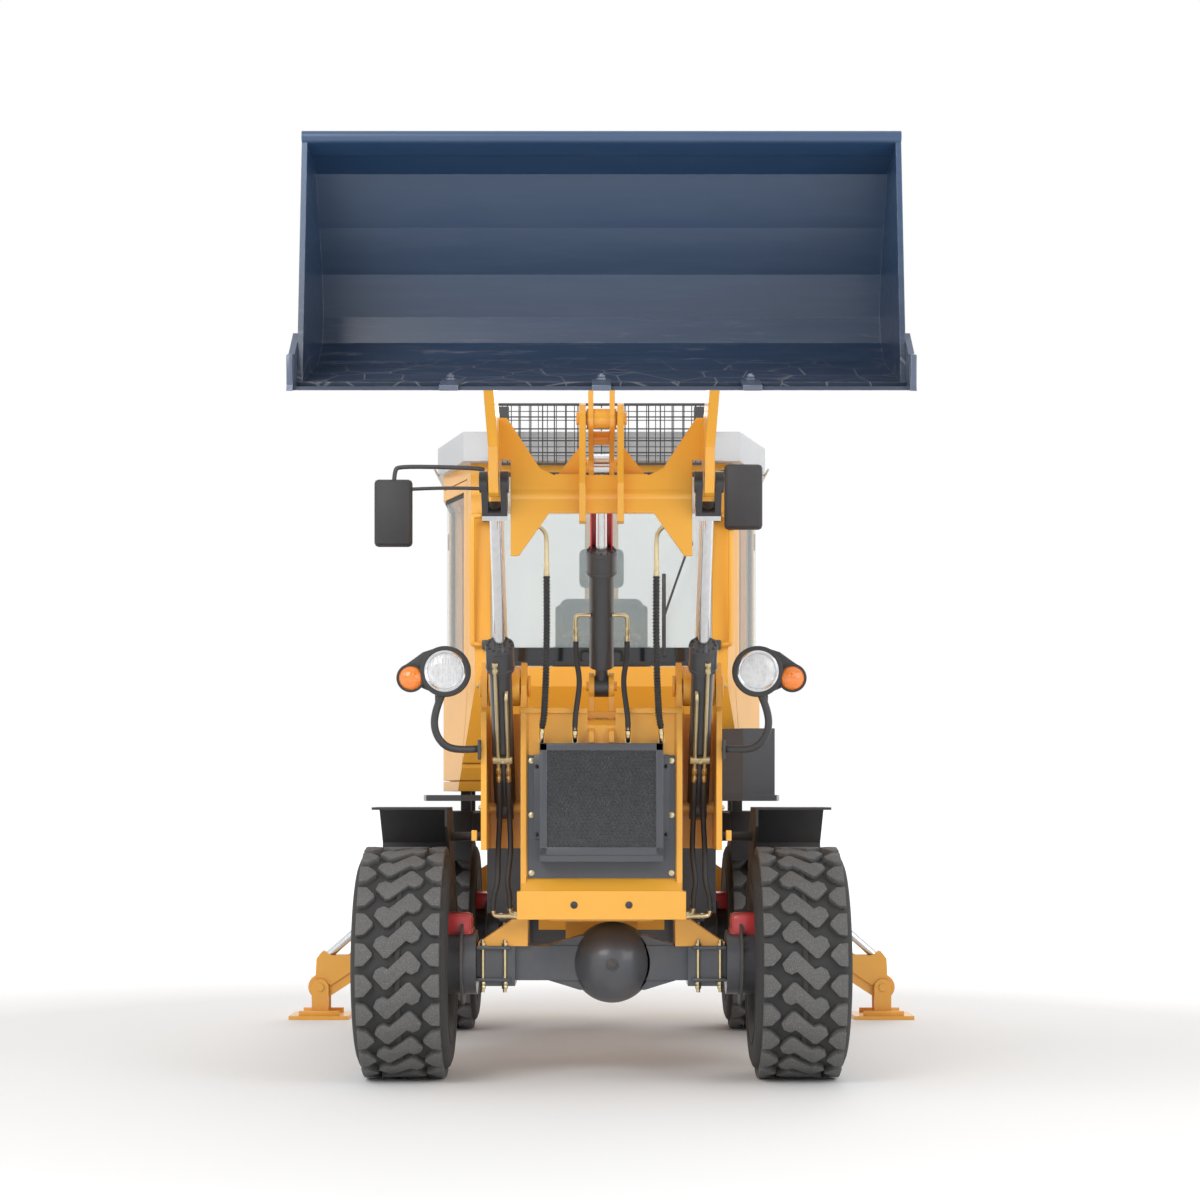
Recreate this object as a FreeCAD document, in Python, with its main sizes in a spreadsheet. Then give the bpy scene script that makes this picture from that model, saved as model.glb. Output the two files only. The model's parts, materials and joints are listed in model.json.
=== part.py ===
import FreeCAD, Part
import math
import os
import Sketcher

# An articulated backhoe loader, straight ahead, loader bucket raised, backhoe folded behind the cab.
# Millimetres. +X is the machine's left side seen from the front, +Y points to the backhoe, +Z is up.
# Every Y below is measured from the front axle; origin_y then moves the whole machine over its origin.

doc = FreeCAD.newDocument("backhoe_loader")
Vector = FreeCAD.Vector


# ---------------------------------------------------------------- driving sizes

SIZES = {
    # whole machine
    "origin_y": -818,
    "axle_base": 2300,
    "hinge_y": 1150,
    "fit_gap": 0.3,
    "pin_play": 0.05,
    # wheels
    "track_half": 910,
    "tyre_radius": 540,
    "tyre_half_width": 212,
    "tyre_shoulder_radius": 500,
    "tyre_tread_radius": 508,
    "tyre_tread_half_width": 186,
    "lug_pitch": 15,
    "lug_half_length": 53,
    "lug_inner": 104,
    "lug_root": 470,
    "middle_lug_radius": 535,
    "middle_lug_reach": 106,
    "middle_lug_length": 86,
    "middle_lug_start": 50,
    "tyre_side_radius": 400,
    "bead_radius": 254,
    "bead_half_width": 160,
    "rim_wall": 14,
    "rim_disc_out": 60,
    "rim_disc_wall": 20,
    "hub_cap_radius": 125,
    "hub_cap_length": 90,
    # axles
    "axle_tube_half_height": 80,
    "axle_tube_half_depth": 75,
    "axle_dome_radius": 190,
    "axle_dome_x": 50,
    "flare_reach": 110,
    "rear_flare_reach": 55,
    "axle_hub_radius": 150,
    "axle_hub_start": 600,
    "spindle_radius": 60,
    "axle_pad_in": 400,
    "axle_pad_out": 560,
    "axle_pad_half_depth": 110,
    "axle_pad_wall": 24,
    "caliper_in": 605,
    "caliper_out": 735,
    "caliper_high": 765,
    # front frame
    "tower_in": 367,
    "tower_out": 521,
    "tower_wall": 26,
    "tower_front_low": -320,
    "tower_skirt": 1070,
    "tower_web_y": 40,
    "tower_back_low": 420,
    "tower_top_half": 95,
    "deck_z": 1700,
    "frame_wall": 30,
    "front_plate_y": -300,
    "front_knee_z": 940,
    "beam_half": 382,
    "beam_low": 757,
    "beam_high": 884,
    "beam_depth": 60,
    "tow_bolt_z": 823,
    "tow_bolt_half": 124,
    "tow_bolt_radius": 11,
    "hinge_upper": 1000,
    "hinge_lower": 560,
    "hinge_plate": 40,
    "hinge_pin_radius": 40,
    "hinge_ear_radius": 120,
    "spine_half": 240,
    # cooler
    "cooler_half": 278,
    "cooler_low": 1020,
    "cooler_high": 1553,
    "cooler_depth": 110,
    "cooler_back_half": 336,
    "cooler_back_low": 942,
    "cooler_back_high": 1500,
    "cooler_back_wall": 8,
    "cooler_rim": 32,
    # hood and engine
    "hood_half": 340.7,
    "hood_back": 640,
    "hood_top": 1660,
    "hood_low": 1130,
    "hood_wall": 8,
    "hood_notch_depth": 135,
    "hood_notch_low": 1550,
    "engine_half": 250,
    "engine_front": -150,
    "engine_back": 560,
    "engine_high": 1520,
    # front fenders
    "fender_in": 725,
    "bracket_width": 55,
    "fender_out": 1080,
    "fender_top": 1262,
    "fender_front": 60,
    "fender_back": 560,
    "fender_low": 860,
    "fender_wall": 12,
    "fender_arm_radius": 22,
    "fender_arm_z": 1120,
    # lamps on stalks
    "lamp_x": 695,
    "lamp_y": -530,
    "lamp_z": 1870,
    "lamp_radius": 107,
    "lamp_lens_radius": 80,
    "lamp_depth": 110,
    "stalk_radius": 15,
    "stalk_root_z": 1550,
    "turn_x": 850,
    "turn_radius": 46,
    "turn_drop": 20,
    # loader arms
    "arm_x": 448,
    "arm_wall": 40,
    "lift_pivot_y": -180,
    "lift_pivot_z": 1820,
    "bucket_hinge_y": -1928,
    "bucket_hinge_z": 3127,
    "arm_pin_radius": 32,
    "arm_boss_radius": 92,
    "hinge_boss_radius": 70,
    "arm_depth_half": 95,
    "arm_bend_u": 1330,
    "arm_bend_v": 225,
    "lift_eye_u": 1262,
    "lift_eye_v": 62,
    "lift_eye_radius": 62,
    "cross_y": -1030,
    "cross_z": 2584,
    "cross_radius": 57,
    "web_wall": 20,
    "web_tip_z": 2905,
    "web_top_z": 2665,
    "web_low_z": 2505,
    "web_foot_z": 2325,
    "web_inner_x": 200,
    "web_notch_x": 382,
    "web_notch_z": 2728,
    # lift cylinders
    "lift_base_y": -50,
    "lift_base_z": 1262,
    "lift_barrel_radius": 50,
    "lift_gland_radius": 63,
    "lift_gland_length": 130,
    "lift_barrel_length": 925,
    "lift_rod_radius": 25,
    "lift_stroke_in": 662,
    "lift_eye_half": 40,
    "base_eye_radius": 55,
    "fork_wall": 26,
    "fork_gap_half": 27,
    "fork_depth": 122,
    "fork_radius": 50,
    # bell crank and link
    "crank_y": -1030,
    "crank_z": 2911,
    "crank_rear_y": -640,
    "crank_rear_z": 2770,
    "crank_top_y": -929,
    "crank_top_z": 3383,
    "crank_plate_x": 34,
    "crank_plate_wall": 22,
    "crank_half_depth": 55,
    "crank_drum_radius": 42,
    "crank_pin_radius": 28,
    "crank_notch_y": 265,
    "crank_notch_z": 194,
    "ear_x": 66,
    "ear_wall": 28,
    "ear_radius": 62,
    "link_half": 24,
    "link_half_depth": 45,
    # tilt cylinder
    "tilt_base_y": -180,
    "tilt_base_z": 1820,
    "tilt_barrel_radius": 56,
    "tilt_gland_radius": 68,
    "tilt_gland_length": 110,
    "tilt_barrel_length": 660,
    "tilt_rod_radius": 26,
    "tilt_eye_half": 33.7,
    "tilt_eye_radius": 50,
    "tilt_pin_radius": 22,
    "tilt_neck_radius": 29,
    "tilt_neck_length": 100,
    "tilt_stroke_in": 128,
    "tilt_ear_wall": 25,
    "tilt_ear_gap": 33,
    "tilt_boss_radius": 60,
    "tilt_notch_half": 63,
    "tilt_notch_back": 82,
    "tilt_notch_depth": 64,
    # loader bucket
    "bucket_width": 2150,
    "bucket_wall": 16,
    "bucket_tip_angle": 18,
    "bucket_floor": 590,
    "bucket_back": 830,
    "bucket_height": 848,
    "bucket_lip": 528,
    "bucket_heel": 210,
    "bucket_side_wall": 20,
    "edge_length": 200,
    "edge_wall": 26,
    "bucket_pin_up": 130,
    "bucket_pin_back": 885,
    "link_pin_up": 390,
    "link_pin_back": 945,
    "bucket_ear_wall": 30,
    # rear frame
    "rail_in": 250,
    "rail_out": 330,
    "rail_low": 640,
    "rail_high": 900,
    "rail_front": 1330,
    "rail_back": 2990,
    "cross_plate_wall": 40,
    # cab
    "cab_front": 900,
    "cab_back": 2520,
    "cab_half_front": 640,
    "cab_half": 840,
    "cab_shoulder_y": 1480,
    "cab_floor": 1340,
    "cab_sill": 1950,
    "cab_top": 3010,
    "cab_lean": 80,
    "cab_foot_y": 1210,
    "pillar": 60,
    "door_wall": 40,
    "door_front": 1150,
    "door_back": 2010,
    "roof_wall": 150,
    "roof_rim": 130,
    "roof_skin": 25,
    "roof_over": 60,
    "glass_wall": 6,
    "door_play": 6,
    "guard_half": 535,
    "guard_low": 2985,
    "guard_high": 3285,
    "guard_wire": 6,
    "rail_radius": 14,
    "handrail_low": 2050,
    "handrail_high": 2770,
    "mirror_width": 195,
    "mirror_height": 345,
    "mirror_left_x": 1055,
    "mirror_left_low": 2570,
    "mirror_right_x": 750,
    "mirror_right_low": 2650,
    # seat and controls
    "seat_y": 1950,
    "seat_width": 520,
    "seat_height": 1760,
    "wheel_ring_radius": 190,
    "wheel_ring_wire": 16,
    "column_y": 1390,
    "column_z": 2150,
    # steps and tanks
    "step_in": 500,
    "step_out": 930,
    "step_z": 1290,
    "step_front": 1290,
    "step_back": 1760,
    "step_wall": 30,
    "box_out": 600,
    "box_low": 700,
    "tank_out": 870,
    "tank_front": 795,
    "sweep_back_y": 950,
    "sweep_front_x": 706,
    "tank_high": 1655,
    "rear_fender_top": 1230,
    # backhoe carriage and swing post
    "carriage_y": 2990,
    "carriage_wall": 60,
    "carriage_half": 330,
    "carriage_low": 480,
    "carriage_high": 1120,
    "swing_y": 3260,
    "swing_pin_radius": 45,
    "swing_ear_radius": 110,
    "swing_upper": 880,
    "swing_lower": 520,
    "swing_plate": 50,
    "post_wall": 25,
    # backhoe boom
    "boom_foot_y": 3490,
    "boom_foot_z": 900,
    "boom_length": 2300,
    "boom_angle": 12,
    "boom_half_width": 100,
    "boom_slot_half": 62,
    "boom_pin_radius": 35,
    "boom_ram_base_y": -230,
    "boom_ram_base_z": 200,
    "boom_ram_eye_y": -310,
    "boom_ram_eye_z": 960,
    "digger_ram_radius": 45,
    "digger_rod_radius": 25,
    "boom_ram_barrel": 685,
    "boom_ram_start": 86,
    # dipper
    "dipper_length": 1450,
    "dipper_angle": 38,
    "dipper_tail": 300,
    "dipper_half_width": 55,
    "dipper_ram_base_y": -330,
    "dipper_ram_base_z": 1180,
    "dipper_ram_barrel": 772,
    "dipper_ram_start": 622,
    # digging bucket and its links
    "digger_half_width": 300,
    "digger_radius": 830,
    "digger_wall": 14,
    "digger_turn": 140,
    "digger_ear": 250,
    "digger_ear_angle": 150,
    "guide_z": 1110,
    "guide_length": 300,
    "guide_angle": 19.9,
    "guide_wall": 16,
    "digger_ram_base_y": 170,
    "digger_ram_base_z": 150,
    "digger_ram_barrel": 706,
    "digger_ram_start": 568,
    # stabilisers
    "leg_y": 2892,
    "leg_half_depth": 28,
    "lug_gap": 44,
    "leg_root_x": 430,
    "leg_root_z": 980,
    "leg_foot_x": 1661,
    "leg_foot_z": 184,
    "leg_half_width": 75,
    "leg_eye_x": 1640,
    "leg_eye_z": 352,
    "leg_ear_wall": 14,
    "foot_half_width": 175,
    "foot_half_depth": 150,
    "foot_wall": 22,
    "leg_pin_radius": 24,
    "jack_base_x": 420,
    "jack_base_z": 1420,
    "jack_barrel_radius": 40,
    "jack_rod_radius": 25,
    "jack_barrel_length": 860,
    "jack_stroke_in": 655,
}

sheet = doc.addObject("Spreadsheet::Sheet", "Sizes")
for row, (alias, number) in enumerate(SIZES.items(), start=1):
    sheet.set("A%d" % row, alias)
    sheet.set("B%d" % row, str(number))
    sheet.setAlias("B%d" % row, alias)
doc.recompute()


class Size:
    """A length or angle that carries its number and the sheet expression it comes from."""

    def __init__(self, text, number):
        self.text = text
        self.number = float(number)

    def __add__(self, other):
        other = size(other)
        return Size("(%s + %s)" % (self.text, other.text), self.number + other.number)

    def __sub__(self, other):
        other = size(other)
        return Size("(%s - %s)" % (self.text, other.text), self.number - other.number)

    def __mul__(self, other):
        other = size(other)
        return Size("(%s * %s)" % (self.text, other.text), self.number * other.number)

    def __truediv__(self, other):
        other = size(other)
        return Size("(%s / %s)" % (self.text, other.text), self.number / other.number)

    def __neg__(self):
        return Size("(0 - %s)" % self.text, -self.number)

    __radd__ = __add__

    def __rsub__(self, other):
        return size(other) - self

    __rmul__ = __mul__


def size(thing):
    """Plain numbers become sizes too, so that both mix in one sum."""
    return thing if isinstance(thing, Size) else Size(repr(float(thing)), thing)


class Sheet:
    """s.name is the size called name in the sheet."""

    def __getattr__(self, name):
        return Size("Sizes." + name, SIZES[name])


s = Sheet()


def hypot(a, b):
    a, b = size(a), size(b)
    return Size("sqrt(%s * %s + %s * %s)" % (a.text, a.text, b.text, b.text), math.hypot(a.number, b.number))


def angle_of(a, b):
    """The angle whose tangent is a / b, in degrees."""
    a, b = size(a), size(b)
    degrees = math.degrees(math.atan2(a.number, b.number))
    return Size("(atan2(%s; %s) / 1deg)" % (a.text, b.text), degrees)


def cosine(angle):
    angle = size(angle)
    return Size("cos(%s * 1deg)" % angle.text, math.cos(math.radians(angle.number)))


def sine(angle):
    angle = size(angle)
    return Size("sin(%s * 1deg)" % angle.text, math.sin(math.radians(angle.number)))


# ---------------------------------------------------------------- ways of making a piece

TURNS = {
    "x": FreeCAD.Rotation(Vector(0, 1, 0), 90),
    "y": FreeCAD.Rotation(Vector(1, 0, 0), -90),
    "z": FreeCAD.Rotation(),
}
PLANES = {
    "yz": FreeCAD.Rotation(Vector(0, 1, 0), Vector(0, 0, 1), Vector(1, 0, 0), "XYZ"),
    "xz": FreeCAD.Rotation(Vector(1, 0, 0), Vector(0, 0, 1), Vector(0, -1, 0), "XYZ"),
    "xy": FreeCAD.Rotation(),
}
NORMALS = {"yz": "x", "xz": "y", "xy": "z"}


def bind(thing, field, value):
    thing.setExpression(field, size(value).text)


def put(thing, x=0, y=0, z=0):
    for axis, value in zip("xyz", (x, y, z)):
        bind(thing, "Placement.Base." + axis, value)
    return thing


def block(x, y, z, name="block"):
    """A box between low and high values on each axis."""
    box = doc.addObject("Part::Box", name)
    bind(box, "Length", size(x[1]) - x[0])
    bind(box, "Width", size(y[1]) - y[0])
    bind(box, "Height", size(z[1]) - z[0])
    return put(box, x[0], y[0], z[0])


def bar(axis, radius, span, at, name="bar"):
    """A round bar along an axis; at gives its centre on the two other axes, in the order x, y, z."""
    cylinder = doc.addObject("Part::Cylinder", name)
    cylinder.Placement = FreeCAD.Placement(Vector(), TURNS[axis])
    bind(cylinder, "Radius", radius)
    bind(cylinder, "Height", size(span[1]) - span[0])
    where = {"x": (span[0], *at), "y": (at[0], span[0], at[1]), "z": (*at, span[0])}[axis]
    return put(cylinder, *where)


def outline(plane, points, name="outline"):
    """A closed sketch through the points, each held by its two distances from the plane's origin."""
    sketch = doc.addObject("Sketcher::SketchObject", name)
    sketch.Placement = FreeCAD.Placement(Vector(), PLANES[plane])
    points = [(size(a), size(b)) for a, b in points]
    ends = points[1:] + points[:1]
    for (a, b), (c, d) in zip(points, ends):
        sketch.addGeometry(Part.LineSegment(Vector(a.number, b.number), Vector(c.number, d.number)), False)
    for i in range(len(points)):
        sketch.addConstraint(Sketcher.Constraint("Coincident", i, 2, (i + 1) % len(points), 1))
    for i, point in enumerate(points):
        for kind, value in zip(("DistanceX", "DistanceY"), point):
            index = sketch.addConstraint(Sketcher.Constraint(kind, -1, 1, i, 1, value.number))
            sketch.setExpression("Constraints[%d]" % index, value.text)
    return sketch


def plate(plane, points, span, name="plate"):
    """The outline pushed along the plane's normal, from the low to the high value of span."""
    extrusion = doc.addObject("Part::Extrusion", name)
    extrusion.Base = outline(plane, points)
    extrusion.DirMode = "Custom"
    axis = NORMALS[plane]
    extrusion.Dir = {"x": Vector(1, 0, 0), "y": Vector(0, 1, 0), "z": Vector(0, 0, 1)}[axis]
    extrusion.Solid = True
    bind(extrusion, "LengthFwd", size(span[1]) - span[0])
    bind(extrusion, "Placement.Base." + axis, span[0])
    return extrusion


def turned(points, at=(0, 0), name="turned"):
    """A solid of revolution about an X axis; each point is (x, radius)."""
    revolution = doc.addObject("Part::Revolution", name)
    revolution.Source = outline("xy", points)
    revolution.Axis = Vector(1, 0, 0)
    revolution.Base = Vector(0, 0, 0)
    revolution.Angle = 360
    revolution.Solid = True
    return put(revolution, 0, *at)


def join(*things, name="join"):
    fusion = doc.addObject("Part::MultiFuse", name)
    fusion.Shapes = list(things)
    return fusion


def group(*things, name="group"):
    compound = doc.addObject("Part::Compound", name)
    compound.Links = list(things)
    return compound


def cut(base, *tools, name="cut"):
    result = doc.addObject("Part::Cut", name)
    result.Base = base
    result.Tool = tools[0] if len(tools) == 1 else join(*tools, name="tools")
    return result


def mirrored(thing, name="mirrored"):
    """The same piece on the other side of the machine."""
    other = doc.addObject("Part::Mirroring", name)
    other.Source = thing
    other.Normal = Vector(1, 0, 0)
    return other


def both(thing):
    return thing, mirrored(thing)


def frame(thing, x=0, y=0, z=0, turn_x=None, turn_y=None, turn_z=None, name="placed"):
    """The thing, drawn about its own origin, set at a place and turned about one axis there."""
    holder = group(thing, name=name)
    for axis, turn in (("x", turn_x), ("y", turn_y), ("z", turn_z)):
        if turn is not None:
            direction = {"x": Vector(1, 0, 0), "y": Vector(0, 1, 0), "z": Vector(0, 0, 1)}[axis]
            holder.Placement = FreeCAD.Placement(Vector(), FreeCAD.Rotation(direction, turn.number))
            bind(holder, "Placement.Rotation.Angle", turn)
    return put(holder, x, y, z)


NODES = []


def node(label, *things):
    """The finished sub-part: its label names its file, and its placement puts it over the origin."""
    piece = group(*things, name="node_" + label)
    piece.Label = label
    put(piece, 0, s.origin_y, 0)
    NODES.append(piece)
    return piece


def slab(half, wall):
    """The two X values of a plate of a given wall that starts at half."""
    return half, half + wall


def strap(plane, start, end, half, span, name="strap"):
    """A flat bar with round ends between two points of a plane."""
    axis = NORMALS[plane]
    run_a, run_b = size(end[0]) - start[0], size(end[1]) - start[1]
    length = hypot(run_a, run_b)
    unit_a, unit_b = run_a / length * half, run_b / length * half
    corners = [
        (size(start[0]) + unit_b, size(start[1]) - unit_a),
        (size(end[0]) + unit_b, size(end[1]) - unit_a),
        (size(end[0]) - unit_b, size(end[1]) + unit_a),
        (size(start[0]) - unit_b, size(start[1]) + unit_a),
    ]
    return join(
        plate(plane, corners, span),
        bar(axis, half, span, start),
        bar(axis, half, span, end),
        name=name,
    )


# ---------------------------------------------------------------- wheels

lug_count = 24


def ring_section(x, radius):
    """A regular polygon square to X, with a side for each lug."""
    polygon = doc.addObject("Part::RegularPolygon", "section")
    polygon.Polygon = lug_count
    polygon.Placement = FreeCAD.Placement(Vector(), TURNS["x"])
    bind(polygon, "Circumradius", radius)
    return put(polygon, x, 0, 0)


def treaded_tyre():
    """A tyre about its own centre: the carcass, the shoulder lugs and the slanted lugs between them."""
    across, tread = s.tyre_half_width, s.tyre_tread_half_width
    body = doc.addObject("Part::Loft", "carcass")
    body.Sections = [
        ring_section(-across, s.tyre_side_radius + 50),
        ring_section(-tread, s.tyre_shoulder_radius),
        ring_section(-s.lug_inner, s.tyre_tread_radius),
        ring_section(s.lug_inner, s.tyre_tread_radius),
        ring_section(tread, s.tyre_shoulder_radius),
        ring_section(across, s.tyre_side_radius + 50),
    ]
    body.Solid = True
    body.Ruled = True
    carcass = cut(body, bar("x", s.bead_radius, (-across - 1, across + 1), (0, 0)))
    half, turn = s.lug_half_length, s.lug_pitch / 2
    top = (s.tyre_radius - half * sine(turn)) / cosine(turn)
    shoulder = plate("xy", [
        (s.lug_inner, -half * 0.45), (tread, -half), (tread, half), (s.lug_inner, half * 0.45),
    ], (s.lug_root, top))
    reach, length, start = s.middle_lug_reach, s.middle_lug_length, s.middle_lug_start
    middle = plate("xy", [
        (-reach, start / 2), (start, -length), (reach, -start / 2), (-start, length),
    ], (s.lug_root, s.middle_lug_radius))
    lugs = []
    for step in range(lug_count):
        lugs.append(frame(middle, turn_x=s.lug_pitch * step))
        lugs.append(frame(shoulder, turn_x=s.lug_pitch * step + turn))
        lugs.append(frame(mirrored(shoulder), turn_x=s.lug_pitch * step + turn))
    return join(carcass, *lugs, name="tyre")


tyre_model = treaded_tyre()


def wheel(prefix, side, y):
    """Tyre and rim turned about the wheel's own axis, side is -1 or 1."""
    centre = s.track_half * side
    node(prefix + "_tyre", frame(tyre_model, centre, y, s.tyre_radius))

    disc = centre + s.rim_disc_out * side
    inner = disc - s.rim_disc_wall * side
    barrel = cut(
        bar("x", s.bead_radius, (centre - s.bead_half_width, centre + s.bead_half_width), (y, s.tyre_radius)),
        bar("x", s.bead_radius - s.rim_wall, (centre - s.bead_half_width, centre + s.bead_half_width),
            (y, s.tyre_radius)),
    )
    low, high = (inner, disc) if side > 0 else (disc, inner)
    web = bar("x", s.bead_radius - s.rim_wall / 2, (low, high), (y, s.tyre_radius))
    cap_end = disc + s.hub_cap_length * side
    low, high = (disc, cap_end) if side > 0 else (cap_end, disc)
    cap = bar("x", s.hub_cap_radius, (low, high), (y, s.tyre_radius))
    spindle = bar("x", s.spindle_radius + s.pin_play,
                  (inner - 1, disc) if side > 0 else (disc, inner + 1), (y, s.tyre_radius))
    node(prefix + "_rim", cut(join(barrel, web, cap), spindle))


def axle(label, y, dome_x, flare_reach):
    """A housing with its dome, two final drives and the spindles that carry the wheels."""
    z = s.tyre_radius
    reach = s.track_half + s.rim_disc_out - s.rim_disc_wall
    hub_end = reach - s.fit_gap
    beam = block((-s.axle_hub_start, s.axle_hub_start),
                 (y - s.axle_tube_half_depth, y + s.axle_tube_half_depth),
                 (z - s.axle_tube_half_height, z + s.axle_tube_half_height))
    dome = doc.addObject("Part::Sphere", "dome")
    bind(dome, "Radius", s.axle_dome_radius)
    put(dome, dome_x, y, z)
    rise, reach_x = s.axle_tube_half_height, s.axle_dome_radius
    flare = plate("xz", [
        (dome_x - reach_x - flare_reach, z - rise), (dome_x - reach_x - flare_reach / 3, z - rise - 22),
        (dome_x - reach_x * 0.8, z - reach_x * 0.66), (dome_x + reach_x * 0.8, z - reach_x * 0.66),
        (dome_x + reach_x + flare_reach / 3, z - rise - 22), (dome_x + reach_x + flare_reach, z - rise),
        (dome_x + reach_x + flare_reach, z + rise), (dome_x + reach_x + flare_reach / 3, z + rise + 22),
        (dome_x + reach_x * 0.8, z + reach_x * 0.66), (dome_x - reach_x * 0.8, z + reach_x * 0.66),
        (dome_x - reach_x - flare_reach / 3, z + rise + 22), (dome_x - reach_x - flare_reach, z + rise),
    ], (y - s.axle_tube_half_depth + 10, y + s.axle_tube_half_depth - 10))
    pads = block((s.axle_pad_in, s.axle_pad_out), (y - s.axle_pad_half_depth, y + s.axle_pad_half_depth),
                 (z - s.axle_tube_half_height - s.axle_pad_wall, z + s.axle_tube_half_height))
    hub = join(
        bar("x", s.axle_hub_radius, (s.axle_hub_start - 20, hub_end), (y, z)),
        bar("x", s.spindle_radius, (hub_end - 10, reach + s.rim_disc_wall - 2), (y, z)),
    )
    node(label, join(beam, flare, dome, *both(pads), *both(hub)))


for name, side in (("left", -1), ("right", 1)):
    wheel("front_" + name, side, size(0))
    wheel("rear_" + name, side, s.axle_base)
axle("front_axle", size(0), s.axle_dome_x, s.flare_reach)
axle("rear_axle", s.axle_base, size(0), s.rear_flare_reach)


def calipers(label, y):
    """A brake caliper on each final drive."""
    piece = block((s.caliper_in, s.caliper_out), (y - 70, y + 70),
                  (s.tyre_radius + 120, s.caliper_high))
    hub = bar("x", s.axle_hub_radius + s.fit_gap, (s.caliper_in - 5, s.caliper_out + 5), (y, s.tyre_radius))
    node(label, *both(cut(piece, hub)))


calipers("front_calipers", size(0))


# ---------------------------------------------------------------- front frame

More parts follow.
